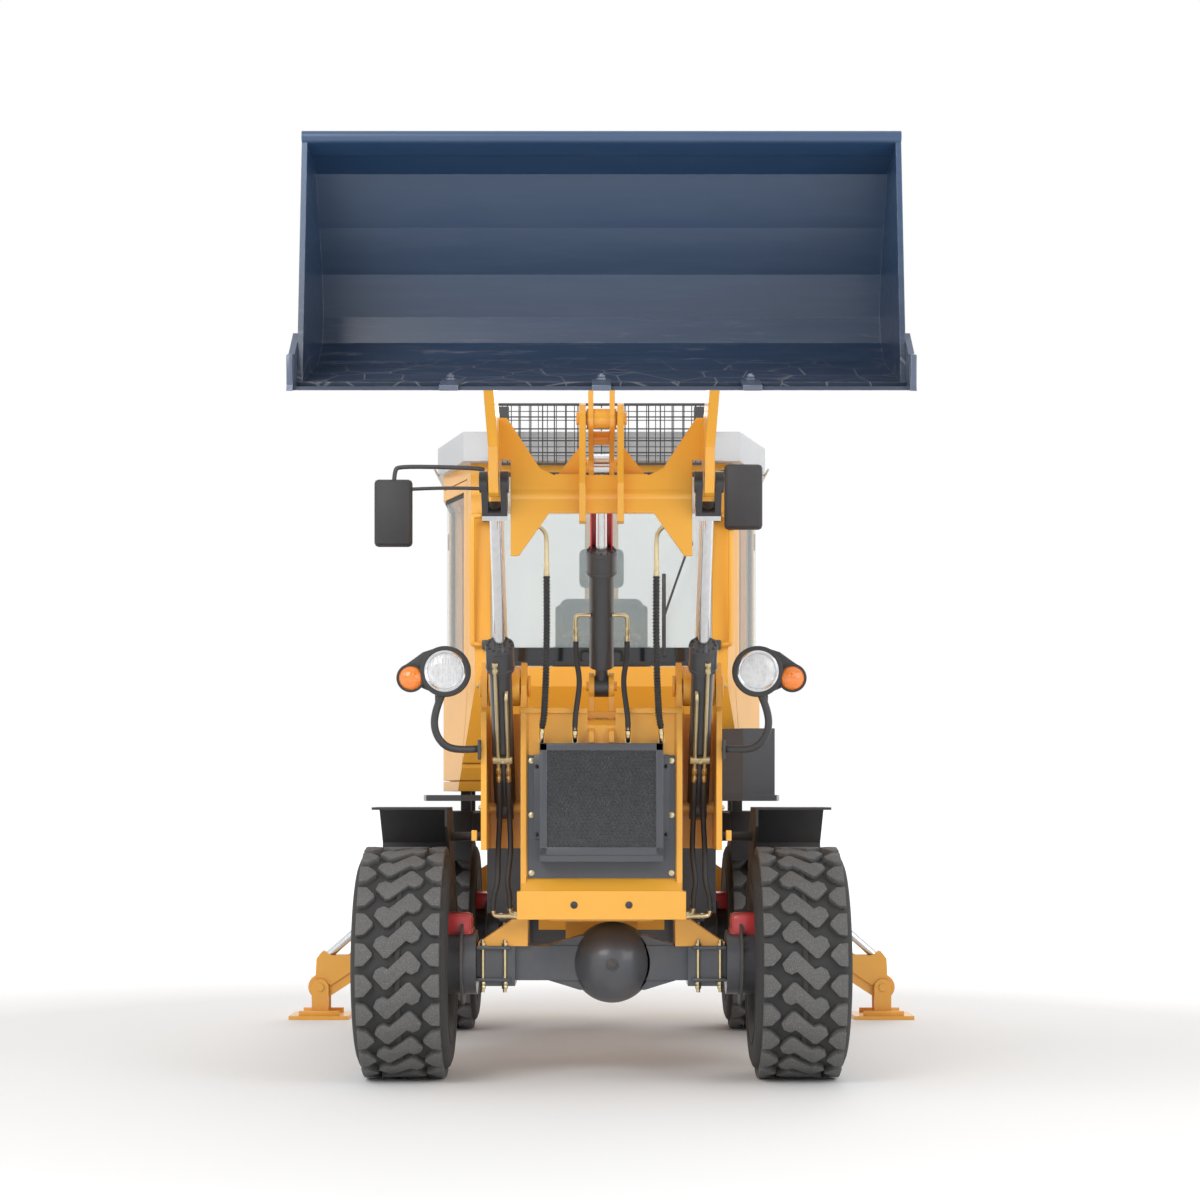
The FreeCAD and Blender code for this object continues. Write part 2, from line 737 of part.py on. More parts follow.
def front_frame():
    """Tower plates on gusseted feet, the deck, front plate and beam between them, and the hinge yoke behind."""
    top = s.lift_pivot_z + s.tower_top_half + 10
    pivot_y = s.lift_pivot_y

    def tower(x, low):
        profile = plate("yz", [
            (s.tower_front_low, low),
            (s.tower_front_low, s.deck_z),
            (pivot_y - s.tower_top_half, s.deck_z + 20),
            (pivot_y - s.tower_top_half, s.lift_pivot_z),
            (pivot_y - s.tower_top_half / 2, top),
            (pivot_y + s.tower_top_half / 2, top),
            (pivot_y + s.tower_top_half, s.lift_pivot_z),
            (s.tower_back_low, s.hood_low),
            (s.tower_back_low, low),
        ], slab(x, s.tower_wall))
        return cut(profile, bar("x", s.arm_pin_radius, (x - 1, x + s.tower_wall + 1),
                                (pivot_y, s.lift_pivot_z)))

    inner_face = s.tower_in - s.tower_wall
    inner = tower(inner_face, s.beam_low)
    outer = tower(s.tower_out, s.tower_skirt)
    span = (inner_face, s.tower_out + s.tower_wall)
    lift_pin = bar("x", s.arm_pin_radius, span, (pivot_y, s.lift_pivot_z))
    cylinder_pin = bar("x", s.arm_pin_radius - 4, span, (s.lift_base_y, s.lift_base_z))
    web = block((s.tower_in - 1, s.tower_out + 1), (s.tower_web_y, s.tower_web_y + s.tower_wall),
                (s.tower_skirt, s.deck_z))
    axle_top = s.tyre_radius + s.axle_tube_half_height
    leg_depth = s.axle_pad_half_depth - 5
    leg = block((inner_face, s.tower_in), (-leg_depth, leg_depth), (axle_top, s.beam_low + 1))
    leg_foot = block((inner_face, s.axle_pad_out + 10), (-leg_depth, leg_depth), (axle_top, axle_top + 20))
    gussets = [plate("xz", [
        (s.tower_in - 1, s.beam_low), (s.tower_in + 22, s.beam_low),
        (s.axle_pad_out + 10, axle_top + 15), (s.tower_in - 1, axle_top + 15),
    ], (y, y + 22)) for y in (-leg_depth, leg_depth - 22)]
    side = join(inner, outer, lift_pin, cylinder_pin, web, leg, leg_foot, *gussets)

    face = s.front_plate_y
    notch = plate("yz", [
        (face + s.tilt_notch_back, s.deck_z + 1), (face - 1, s.deck_z + 1), (face - 1, s.deck_z - s.tilt_notch_depth),
        (face + s.frame_wall + 1, s.deck_z - s.tilt_notch_depth + 26),
        (face + s.tilt_notch_back, s.deck_z - s.frame_wall),
    ], (-s.tilt_notch_half, s.tilt_notch_half))
    deck = block((-s.tower_in + 5, s.tower_in - 5), (face, pivot_y + s.tower_top_half),
                 (s.deck_z - s.frame_wall, s.deck_z))
    nose_y = face - s.beam_depth
    panel = plate("yz", [
        (face, s.deck_z - 1), (face, s.front_knee_z), (nose_y, s.beam_high), (nose_y, s.beam_high - 20),
        (face + s.frame_wall, s.beam_high - 20), (face + s.frame_wall, s.deck_z - 1),
    ], (-s.tower_in + 5, s.tower_in - 5))
    beam = block((-s.beam_half, s.beam_half), (nose_y, face + s.frame_wall), (s.beam_low, s.beam_high))
    holes = [bar("y", s.tow_bolt_radius, (nose_y - 1, nose_y + 40), (x, s.tow_bolt_z))
             for x in (-s.tow_bolt_half, s.tow_bolt_half)]
    keel_low = s.tyre_radius + s.axle_dome_radius + 5
    spine = block((-s.spine_half, s.spine_half), (face + 200, s.hinge_y - 160), (keel_low, s.beam_high - 3))
    belly = block((-s.tower_in + 5, s.tower_in - 5), (face + 10, s.tower_back_low), (keel_low + 30, s.beam_high - 3))

    def yoke(z):
        return join(
            block((-s.spine_half + 60, s.spine_half - 60), (s.hinge_y - 300, s.hinge_y),
                  (z, z + s.hinge_plate)),
            bar("z", s.hinge_ear_radius, (z, z + s.hinge_plate), (0, s.hinge_y)),
        )

    lower, upper = yoke(s.hinge_lower), yoke(s.hinge_upper)
    back = block((-s.spine_half + 60, s.spine_half - 60), (s.hinge_y - 330, s.hinge_y - 290),
                 (s.hinge_lower, s.hinge_upper + s.hinge_plate))
    pin = bar("z", s.hinge_pin_radius, (s.hinge_lower - 20, s.hinge_upper + s.hinge_plate + 20), (0, s.hinge_y))

    ear_front = face - 30
    ear_low = s.cooler_high + 4
    boss = s.tilt_boss_radius
    tilt_ear = join(
        plate("yz", [
            (ear_front, ear_low), (ear_front, ear_low + 50), (face + 100, s.deck_z - 20),
            (s.tilt_base_y - 38, s.tilt_base_z - 50), (s.tilt_base_y, s.tilt_base_z - 20),
            (s.tilt_base_y + boss, s.tilt_base_z), (s.tilt_base_y + boss, s.deck_z - 20),
            (face + s.frame_wall, ear_low),
        ], slab(s.tilt_ear_gap, s.tilt_ear_wall)),
        bar("x", boss, slab(s.tilt_ear_gap, s.tilt_ear_wall), (s.tilt_base_y, s.tilt_base_z)),
    )
    pin_reach = s.tilt_ear_gap + s.tilt_ear_wall + 12
    tilt_pin = bar("x", s.tilt_pin_radius, (-pin_reach, pin_reach), (s.tilt_base_y, s.tilt_base_z))

    body = join(*both(side), cut(join(deck, panel), notch), cut(beam, *holes), spine, belly, lower, upper, back, pin,
                *both(tilt_ear), tilt_pin)
    node("front_frame", body)


front_frame()


def cooler():
    """The cooler's case on its back plate, which is bolted to the front plate."""
    face = s.front_plate_y
    back = block((-s.cooler_back_half, s.cooler_back_half), (face - s.cooler_back_wall, face),
                 (s.cooler_back_low, s.cooler_back_high))
    case = block((-s.cooler_half, s.cooler_half), (face - s.cooler_depth, face), (s.cooler_low, s.cooler_high))
    window = block((-s.cooler_half + s.cooler_rim, s.cooler_half - s.cooler_rim),
                   (face - s.cooler_depth - 1, face - s.cooler_depth + 12),
                   (s.cooler_low + s.cooler_rim * 2, s.cooler_high - s.cooler_rim))
    node("cooler", join(back, cut(case, window)))


cooler()


def hood():
    """A hood of sheet, open below, over the engine block that stands behind the front plate."""
    front = s.front_plate_y + s.frame_wall + s.fit_gap
    shell = cut(
        block((-s.hood_half, s.hood_half), (front, s.hood_back), (s.hood_low, s.hood_top)),
        block((-s.hood_half + s.hood_wall, s.hood_half - s.hood_wall),
              (front + s.hood_wall, s.hood_back - s.hood_wall),
              (s.hood_low - 1, s.hood_top - s.hood_wall)),
        block((-s.tilt_notch_half, s.tilt_notch_half), (front - 1, front + s.hood_notch_depth),
              (s.hood_notch_low, s.hood_top + 1)),
    )
    node("engine_hood", shell)
    engine = block((-s.engine_half, s.engine_half), (s.engine_front, s.engine_back),
                   (s.beam_high - 3, s.engine_high))
    node("engine_block", engine)


hood()


def fenders():
    """Bent fenders over the back of the front tyres, each on a tube from the frame."""
    inner, outer = s.fender_in, s.fender_out
    sheet_metal = plate("yz", [
        (s.fender_front, s.fender_top),
        (s.fender_back - 120, s.fender_top),
        (s.fender_back + 60, s.fender_top - 170),
        (s.fender_back + 60, s.fender_low),
        (s.fender_back + 60 - s.fender_wall, s.fender_low),
        (s.fender_back + 60 - s.fender_wall, s.fender_top - 176),
        (s.fender_back - 126, s.fender_top - s.fender_wall),
        (s.fender_front, s.fender_top - s.fender_wall),
    ], (inner, outer))
    skirt = plate("yz", [
        (s.fender_front, s.fender_top),
        (s.fender_back - 120, s.fender_top),
        (s.fender_back + 60, s.fender_top - 170),
        (s.fender_back + 60, s.fender_low),
        (s.fender_back - 40, s.fender_low),
        (s.fender_front, s.fender_top - 90),
    ], (inner, inner + s.fender_wall))
    arm = bar("x", s.fender_arm_radius, (s.tower_out + s.tower_wall, inner + 1),
              (s.tower_back_low - 60, s.fender_arm_z))
    node("front_fenders", *both(join(sheet_metal, skirt, arm)))


fenders()


def stalk_lamps():
    """A head lamp and a turn lamp on a bent stalk each side of the tower."""
    root = s.tower_out + s.tower_wall
    level = bar("x", s.stalk_radius, (root, s.lamp_x + 10), (s.lamp_y + 130, s.stalk_root_z))
    post = bar("z", s.stalk_radius, (s.stalk_root_z - s.stalk_radius, s.lamp_z - s.lamp_radius),
               (s.lamp_x, s.lamp_y + 130))
    post_low = block((s.lamp_x - 20, s.lamp_x + 20), (s.lamp_y + 60, s.lamp_y + 150),
                     (s.lamp_z - s.lamp_radius - 10, s.lamp_z - s.lamp_radius + 30))
    arm = bar("x", s.stalk_radius - 3, (s.lamp_x + s.lamp_radius - 20, s.turn_x), (s.lamp_y + 60, s.lamp_z))
    foot = block((root, root + 30), (s.lamp_y + 80, s.tower_front_low + 60),
                 (s.stalk_root_z - 40, s.stalk_root_z + 40))
    shell = bar("y", s.lamp_radius, (s.lamp_y, s.lamp_y + s.lamp_depth), (s.lamp_x, s.lamp_z))
    hollow = bar("y", s.lamp_lens_radius, (s.lamp_y - 1, s.lamp_y + 40), (s.lamp_x, s.lamp_z))
    turn_shell = bar("y", s.turn_radius, (s.lamp_y, s.lamp_y + 90), (s.turn_x, s.lamp_z - s.turn_drop))
    node("lamp_stalks", *both(join(level, post, post_low, arm, foot, cut(shell, hollow), turn_shell)))
    lens = bar("y", s.lamp_lens_radius, (s.lamp_y + 15, s.lamp_y + 40), (s.lamp_x, s.lamp_z))
    node("headlamps", *both(lens))


stalk_lamps()


# ---------------------------------------------------------------- loader arms

ARM_RUN = s.lift_pivot_y - s.bucket_hinge_y
ARM_RISE = s.bucket_hinge_z - s.lift_pivot_z
ARM_LENGTH = hypot(ARM_RUN, ARM_RISE)
ARM_ANGLE = angle_of(ARM_RISE, ARM_RUN)


def on_arm(u, v):
    """A place u along the arm's line and v above it, in the machine's Y and Z."""
    y = s.lift_pivot_y - (size(u) * cosine(ARM_ANGLE) - size(v) * sine(ARM_ANGLE))
    z = s.lift_pivot_z + (size(u) * sine(ARM_ANGLE) + size(v) * cosine(ARM_ANGLE))
    return y, z


LIFT_EYE = on_arm(s.lift_eye_u, s.lift_eye_v)


def loader_arms():
    """Two bent plates, the cross tube with its webs between them, and the ears of the bell crank."""
    x = slab(s.arm_x - s.arm_wall / 2, s.arm_wall)
    depth = s.arm_depth_half
    bend_u, bend_v = s.arm_bend_u, s.arm_bend_v
    eye_u, eye_v = s.lift_eye_u, s.lift_eye_v
    points = [
        (20, -depth + 5),
        (eye_u - 250, bend_v - depth - 18),
        (eye_u - 170, bend_v - depth + 14),
        (eye_u - 66, bend_v - depth + 14),
        (eye_u - 50, eye_v - s.lift_eye_radius + 24),
        (eye_u, eye_v - s.lift_eye_radius),
        (eye_u + 60, eye_v - s.lift_eye_radius + 22),
        (eye_u + 170, bend_v - depth - 30),
        (ARM_LENGTH - 20, -s.hinge_boss_radius + 2),
        (ARM_LENGTH + 20, s.hinge_boss_radius - 4),
        (bend_u + 60, bend_v + depth),
        (bend_u - 60, bend_v + depth),
        (-20, depth - 5),
    ]
    beam = plate("yz", [on_arm(u, v) for u, v in points], x)
    pivot_boss = bar("x", s.arm_boss_radius, (s.tower_in + 6, s.tower_out - 6), (s.lift_pivot_y, s.lift_pivot_z))
    hinge_boss = bar("x", s.hinge_boss_radius, (s.arm_x - 45, s.arm_x + 45), (s.bucket_hinge_y, s.bucket_hinge_z))
    bores = (
        bar("x", s.arm_pin_radius + s.pin_play, (s.tower_in, s.tower_out), (s.lift_pivot_y, s.lift_pivot_z)),
        bar("x", s.arm_pin_radius + s.pin_play, (s.arm_x - 50, s.arm_x + 50), (s.bucket_hinge_y, s.bucket_hinge_z)),
    )
    arm = cut(join(beam, pivot_boss, hinge_boss), *bores)

    inner = s.arm_x - s.arm_wall / 2
    tube = bar("x", s.cross_radius, (-s.web_notch_x, s.web_notch_x), (s.cross_y, s.cross_z))
    web_y = (s.cross_y - s.cross_radius + 4, s.cross_y - s.cross_radius + 4 + s.web_wall)
    web = plate("xz", [
        (-inner - 2, s.web_tip_z),
        (-inner + 30, s.web_tip_z),
        (-s.web_inner_x - 60, s.web_top_z + 30),
        (-s.web_inner_x, s.web_top_z),
        (s.web_inner_x, s.web_top_z),
        (s.web_inner_x + 60, s.web_top_z + 30),
        (inner - 30, s.web_tip_z),
        (inner + 2, s.web_tip_z),
        (inner + 2, s.web_notch_z),
        (s.web_notch_x, s.web_notch_z),
        (s.web_notch_x, s.web_foot_z),
        (inner - 80, s.web_foot_z),
        (s.web_inner_x + 20, s.web_low_z),
        (-s.web_inner_x - 20, s.web_low_z),
        (-inner + 80, s.web_foot_z),
        (-s.web_notch_x, s.web_foot_z),
        (-s.web_notch_x, s.web_notch_z),
        (-inner - 2, s.web_notch_z),
    ], web_y)

    def ear(x_low):
        span = slab(x_low, s.ear_wall)
        profile = join(
            plate("yz", [
                (s.crank_y - s.ear_radius, s.crank_z),
                (s.crank_y + s.ear_radius, s.crank_z),
                (s.cross_y + s.cross_radius + 10, s.cross_z - 20),
                (s.cross_y + 20, s.cross_z - s.cross_radius - 60),
                (s.cross_y - s.cross_radius - 30, s.cross_z - s.cross_radius - 60),
                (s.cross_y - s.cross_radius - 50, s.cross_z + 40),
            ], span),
            bar("x", s.ear_radius, span, (s.crank_y, s.crank_z)),
        )
        return profile

    crank_pin = bar("x", s.crank_pin_radius, (-s.ear_x - s.ear_wall - 12, s.ear_x + s.ear_wall + 12),
                    (s.crank_y, s.crank_z))
    gusset = plate("xz", [
        (s.ear_x + s.ear_wall - 2, s.web_top_z - 5),
        (s.ear_x + s.ear_wall + 100, s.web_top_z - 5),
        (s.ear_x + s.ear_wall - 2, s.web_top_z + 125),
    ], (s.crank_y - 12, s.crank_y + 12))
    post = block((s.ear_x + s.ear_wall - 2, s.ear_x + s.ear_wall + 100), (web_y[0], s.crank_y + 12),
                 (s.web_top_z - 20, s.web_top_z + 4))
    node("loader_arms", join(*both(arm), tube, web, *both(ear(s.ear_x)), crank_pin, *both(gusset), *both(post)))


loader_arms()


def bell_crank():
    """Two plates with three eyes: the drum on its pin, the tilt cylinder behind, the link above."""
    centre = (s.crank_y, s.crank_z)
    rear = (s.crank_rear_y, s.crank_rear_z)
    top = (s.crank_top_y, s.crank_top_z)
    span = slab(s.crank_plate_x, s.crank_plate_wall)
    side = join(
        strap("yz", centre, rear, s.crank_half_depth, span),
        strap("yz", centre, top, s.crank_half_depth, span),
    )
    drum = bar("x", s.crank_drum_radius, (-s.ear_x + 3, s.ear_x - 3), centre)
    web_y = (s.crank_y + s.crank_rear_y) / 2
    web_z = (s.crank_z + s.crank_rear_z) / 2
    web = bar("x", 30, (-s.crank_plate_x - 2, s.crank_plate_x + 2), (web_y - 40, web_z + 12))
    bore = bar("x", s.crank_pin_radius + s.pin_play, (-s.ear_x, s.ear_x), centre)
    hollow = bar("x", s.cross_radius + 8, (-s.ear_x, s.ear_x), (s.crank_y + s.crank_notch_y, s.crank_z - s.crank_notch_z))
    caps = [bar("x", 30, slab(s.crank_plate_x + s.crank_plate_wall, 10), place) for place in (rear, top)]
    node("bell_crank", cut(join(*both(side), drum, web, *both(caps[0]), *both(caps[1])), bore, hollow))


bell_crank()


BUCKET_FRAME = s.bucket_tip_angle


def on_bucket(back, up):
    """A place in the bucket's section: back along its floor from the edge, and up from the floor."""
    a, b = size(back) - s.bucket_pin_back, size(up) - s.bucket_pin_up
    y = s.bucket_hinge_y + a * cosine(BUCKET_FRAME) - b * sine(BUCKET_FRAME)
    z = s.bucket_hinge_z + a * sine(BUCKET_FRAME) + b * cosine(BUCKET_FRAME)
    return y, z


BUCKET_LINK_PIN = on_bucket(s.link_pin_back, s.link_pin_up)


def tilt_link():
    """The bar that joins the bell crank's top eye to the bucket."""
    top = (s.crank_top_y, s.crank_top_z)
    bar_piece = strap("yz", top, BUCKET_LINK_PIN, s.link_half_depth, (-s.link_half, s.link_half))
    crank_boss = bar("x", s.link_half_depth - 4, (-s.crank_plate_x + s.fit_gap, s.crank_plate_x - s.fit_gap), top)
    bucket_boss = bar("x", s.link_half_depth - 4, (-s.link_half - 6 + s.fit_gap, s.link_half + 6 - s.fit_gap),
                      BUCKET_LINK_PIN)
    node("tilt_link", join(bar_piece, crank_boss, bucket_boss))


tilt_link()


def loader_bucket():
    """A shell of floor, heel and back with two side plates, and the ears that carry it."""
    half = s.bucket_width / 2
    wall = s.bucket_wall
    outer = [
        (s.edge_length / 2, 0),
        (s.bucket_floor, 0),
        (s.bucket_back - 90, s.bucket_heel * 0.28),
        (s.bucket_back - 20, s.bucket_heel * 0.75),
        (s.bucket_back, s.bucket_heel + 110),
        (s.bucket_back - 40, s.bucket_heel + 290),
        (s.bucket_lip + 200, s.bucket_height - 140),
        (s.bucket_lip, s.bucket_height),
    ]
    inner = [
        (s.bucket_lip - 6, s.bucket_height - wall),
        (s.bucket_lip + 190, s.bucket_height - 140 - wall),
        (s.bucket_back - 40 - wall, s.bucket_heel + 285),
        (s.bucket_back - wall, s.bucket_heel + 110),
        (s.bucket_back - 20 - wall, s.bucket_heel * 0.75 + 6),
        (s.bucket_back - 90 - 6, s.bucket_heel * 0.28 + wall),
        (s.bucket_floor, wall),
        (s.edge_length / 2, wall),
    ]
    shell = plate("yz", [on_bucket(*p) for p in outer + inner], (-half, half))
    side = plate("yz", [on_bucket(*p) for p in outer + [(s.edge_length / 2 + 60, 120)]],
                 (half - s.bucket_side_wall, half))
    lip = strap("yz", on_bucket(s.bucket_lip, s.bucket_height - 20), on_bucket(s.bucket_lip + 60, s.bucket_height - 60),
                24, (-half, half))
    hinge = on_bucket(s.bucket_pin_back, s.bucket_pin_up)

    def arm_ear(x):
        span = slab(x, s.bucket_ear_wall)
        return join(
            plate("yz", [on_bucket(*p) for p in (
                (s.bucket_floor + 80, 10), (s.bucket_pin_back, s.bucket_pin_up - 70),
                (s.bucket_pin_back + 68, s.bucket_pin_up - 10),
                (s.bucket_pin_back + 62, s.bucket_pin_up + 40), (s.bucket_back - 30, s.bucket_heel + 250),
                (s.bucket_back - 50, s.bucket_heel))], span),
            bar("x", 70, span, hinge),
        )

    def link_ear(x):
        span = slab(x, s.bucket_ear_wall)
        return join(
            plate("yz", [on_bucket(*p) for p in (
                (s.bucket_back - 50, s.bucket_heel - 30), (s.link_pin_back + 20, s.link_pin_up - 60),
                (s.link_pin_back + 50, s.link_pin_up + 20), (s.link_pin_back, s.link_pin_up + 52),
                (s.bucket_back - 80, s.bucket_heel + 420))], span),
            bar("x", 55, span, BUCKET_LINK_PIN),
        )

    pin = bar("x", s.arm_pin_radius, (s.arm_x - 60 - s.bucket_ear_wall, s.arm_x + 60 + s.bucket_ear_wall), hinge)
    ears = join(arm_ear(s.arm_x + 50), arm_ear(s.arm_x - 50 - s.bucket_ear_wall), pin)
    inside = plate("yz", [on_bucket(*p) for p in inner], (-half, half))
    carriers = cut(join(*both(ears), *both(link_ear(s.link_half + 6))), inside)
    node("loader_bucket", join(shell, *both(side), lip, carriers))

    edge = plate("yz", [on_bucket(*p) for p in (
        (0, 0), (s.edge_length, -s.edge_wall), (s.edge_length + 20, -s.edge_wall), (s.edge_length + 20, 0),
        (s.edge_length / 2, 0), (30, 10))], (-half, half))
    cutters = plate("yz", [on_bucket(*p) for p in (
        (-15, 0), (130, -8), (250, 8), (230, 170), (70, 110))], slab(half, 22))
    node("bucket_edge", edge, *both(cutters))


loader_bucket()


# ---------------------------------------------------------------- cylinders

def barrel_of(radius, gland, length, rod, eye, bore=None, axis="x"):
    """A cylinder's barrel, upright on its base pin: eye, tube, gland and the bore for its rod."""
    eye_radius, eye_half = eye
    gland_radius, gland_length = gland
    body = join(
        bar("z", radius, (eye_radius - 10, length), (0, 0)),
        bar("z", gland_radius, (length - gland_length, length), (0, 0)),
        bar(axis, eye_radius, (-eye_half, eye_half), (0, 0)),
    )
    tools = [bar("z", rod + s.fit_gap, (eye_radius + 30, length + 1), (0, 0))]
    if bore is not None:
        tools.append(bar(axis, bore, (-eye_half - 1, eye_half + 1), (0, 0)))
    return cut(body, *tools)


def rod_of(radius, start, reach, eye, axis="x"):
    """The rod of a cylinder, from its inner end to the eye at its outer end."""
    eye_radius, eye_half = eye
    return join(
        bar("z", radius, (start, reach - eye_radius / 2), (0, 0)),
        bar(axis, eye_radius, (-eye_half, eye_half), (0, reach)),
    )


def aim_yz(base, eye):
    """Turn about X that carries +Z to the line from base to eye."""
    return angle_of(size(base[0]) - eye[0], size(eye[1]) - base[1])


def span_yz(base, eye):
    return hypot(size(eye[0]) - base[0], size(eye[1]) - base[1])


def lift_cylinders():
    """One each side, from the tower up to a lug below the arm, which its rod's fork straddles."""
    base = (s.lift_base_y, s.lift_base_z)
    reach = span_yz(base, LIFT_EYE)
    turn = aim_yz(base, LIFT_EYE)
    cheek_x = slab(s.fork_gap_half, s.fork_wall)
    depth = (-s.fork_radius + 5, s.fork_radius - 5)
    shell = barrel_of(s.lift_barrel_radius, (s.lift_gland_radius, s.lift_gland_length), s.lift_barrel_length,
                      s.lift_rod_radius, (s.base_eye_radius, s.lift_eye_half), s.arm_pin_radius - 4 + s.pin_play)
    node("lift_barrels", *both(frame(shell, s.arm_x, base[0], base[1], turn_x=turn)))
    rod = bar("z", s.lift_rod_radius, (s.base_eye_radius + 35 + s.lift_stroke_in, reach - s.fork_depth + 5), (0, 0))
    neck = block((-s.fork_gap_half - s.fork_wall, s.fork_gap_half + s.fork_wall), depth,
                 (reach - s.fork_depth - 40, reach - s.fork_depth))
    cheek = join(
        block(cheek_x, depth, (reach - s.fork_depth - 1, reach)),
        bar("x", s.fork_radius - 5, slab(s.fork_gap_half, s.fork_wall + 8), (0, reach)),
    )
    node("lift_rods", *both(frame(join(rod, neck, *both(cheek)), s.arm_x, base[0], base[1], turn_x=turn)))


lift_cylinders()


def tilt_cylinder():
    """The single cylinder in the middle, from the deck's ears to the bell crank."""
    base = (s.tilt_base_y, s.tilt_base_z)
    eye = (s.crank_rear_y, s.crank_rear_z)
    turn = aim_yz(base, eye)
    tube = join(
        bar("z", s.tilt_barrel_radius, (s.tilt_neck_length, s.tilt_barrel_length), (0, 0)),
        bar("z", s.tilt_gland_radius, (s.tilt_barrel_length - s.tilt_gland_length, s.tilt_barrel_length), (0, 0)),
        bar("z", s.tilt_neck_radius, (0, s.tilt_neck_length + 5), (0, 0)),
        bar("x", s.tilt_eye_radius, (-s.tilt_ear_gap + s.fit_gap, s.tilt_ear_gap - s.fit_gap), (0, 0)),
    )
    shell = cut(
        tube,
        bar("z", s.tilt_rod_radius + s.fit_gap, (s.tilt_neck_length + 20, s.tilt_barrel_length + 1), (0, 0)),
        bar("x", s.tilt_pin_radius + s.pin_play, (-s.tilt_ear_gap - 1, s.tilt_ear_gap + 1), (0, 0)),
    )
    node("tilt_barrel", frame(shell, 0, base[0], base[1], turn_x=turn))
    start = s.tilt_neck_length + 20 + s.tilt_stroke_in
    rod = rod_of(s.tilt_rod_radius, start, span_yz(base, eye), (s.tilt_eye_radius - 5, s.tilt_eye_half))
    node("tilt_rod", frame(rod, 0, base[0], base[1], turn_x=turn))


tilt_cylinder()


# ---------------------------------------------------------------- rear frame

def rear_frame():
    """Two rails, the hinge tongue in front, the carriage plate and swing ears behind."""
    rail = block((s.rail_in, s.rail_out), (s.rail_front, s.rail_back), (s.rail_low, s.rail_high))
    tie_front = block((-s.rail_out, s.rail_out), (s.rail_front, s.rail_front + s.cross_plate_wall),
                      (s.hinge_lower + s.hinge_plate + 12, s.hinge_upper - 12))
    tongue_low = s.hinge_lower + s.hinge_plate + 10
    tongue_high = s.hinge_upper - 10
    knuckle = cut(
        join(
            bar("z", s.hinge_ear_radius - 20, (tongue_low, tongue_high), (0, s.hinge_y)),
            block((-90, 90), (s.hinge_y, s.rail_front + 5), (tongue_low, tongue_high)),
        ),
        bar("z", s.hinge_pin_radius + s.pin_play, (tongue_low - 1, tongue_high + 1), (0, s.hinge_y)),
    )
    saddle = block((s.rail_in - 1, s.axle_pad_out), (s.axle_base - 100, s.axle_base + 100),
                   (s.tyre_radius + s.axle_tube_half_height, s.rail_low + 60))
    carriage = block((-s.carriage_half, s.carriage_half), (s.carriage_y - s.carriage_wall, s.carriage_y),
                     (s.carriage_low, s.carriage_high))
    leg_beam = block((-s.leg_root_x + 120, s.leg_root_x - 120), (s.leg_y - 45, s.carriage_y - 10),
                     (s.leg_root_z - 90, s.carriage_high))

    def leg_lug(y):
        return plate("xz", [
            (s.leg_root_x - 130, s.leg_root_z - 100), (s.leg_root_x + 50, s.leg_root_z - 60),
            (s.leg_root_x + 50, s.leg_root_z + 60), (s.jack_base_x + 50, s.jack_base_z + 55),
            (s.jack_base_x - 60, s.jack_base_z + 55), (s.leg_root_x - 130, s.leg_root_z + 60),
        ], (y, y + 12))

    lug_front, lug_back = s.leg_y - s.lug_gap - 12, s.leg_y + s.lug_gap + 12
    lugs = [leg_lug(lug_front), leg_lug(s.leg_y + s.lug_gap)]
    leg_pin = bar("y", s.leg_pin_radius, (lug_front, lug_back), (s.leg_root_x, s.leg_root_z))
    jack_pin = bar("y", s.leg_pin_radius, (lug_front, lug_back), (s.jack_base_x, s.jack_base_z))
    lug_tie = block((s.leg_root_x - 140, s.leg_root_x - 110), (lug_front, s.carriage_y - 5),
                    (s.leg_root_z - 100, s.carriage_high))

    def swing_ear(z):
        return join(
            block((-s.swing_ear_radius, s.swing_ear_radius), (s.carriage_y - 5, s.swing_y), (z, z + s.swing_plate)),
            bar("z", s.swing_ear_radius, (z, z + s.swing_plate), (0, s.swing_y)),
        )

    swing_pin = bar("z", s.swing_pin_radius, (s.swing_lower - 15, s.swing_upper + s.swing_plate + 15), (0, s.swing_y))
    mounts = [block((s.rail_in, s.rail_out), (y, y + 120), (s.rail_high - 1, s.cab_floor))
              for y in (s.rail_front + 60, s.cab_back - 200)]
    side = join(rail, saddle, *lugs, leg_pin, jack_pin, lug_tie, *mounts)
    node("rear_frame", join(*both(side), tie_front, knuckle, carriage, leg_beam,
                            swing_ear(s.swing_lower), swing_ear(s.swing_upper), swing_pin))


rear_frame()


# ---------------------------------------------------------------- cab

def common(first, second, name="common"):
    result = doc.addObject("Part::Common", name)
    result.Base = first
    result.Tool = second
    return result


def cab_plan(inset, z):
    """The cab seen from above: narrow in front, wide behind the shoulders, shrunk by inset."""
    return plate("xy", [
        (-s.cab_half_front + inset, s.cab_front - 200),
        (-s.cab_half_front + inset, s.cab_front),
        (-s.cab_half + inset, s.cab_shoulder_y),
        (-s.cab_half + inset, s.cab_back + 200),
        (s.cab_half - inset, s.cab_back + 200),
        (s.cab_half - inset, s.cab_shoulder_y),
        (s.cab_half_front - inset, s.cab_front),
        (s.cab_half_front - inset, s.cab_front - 200),
    ], z)


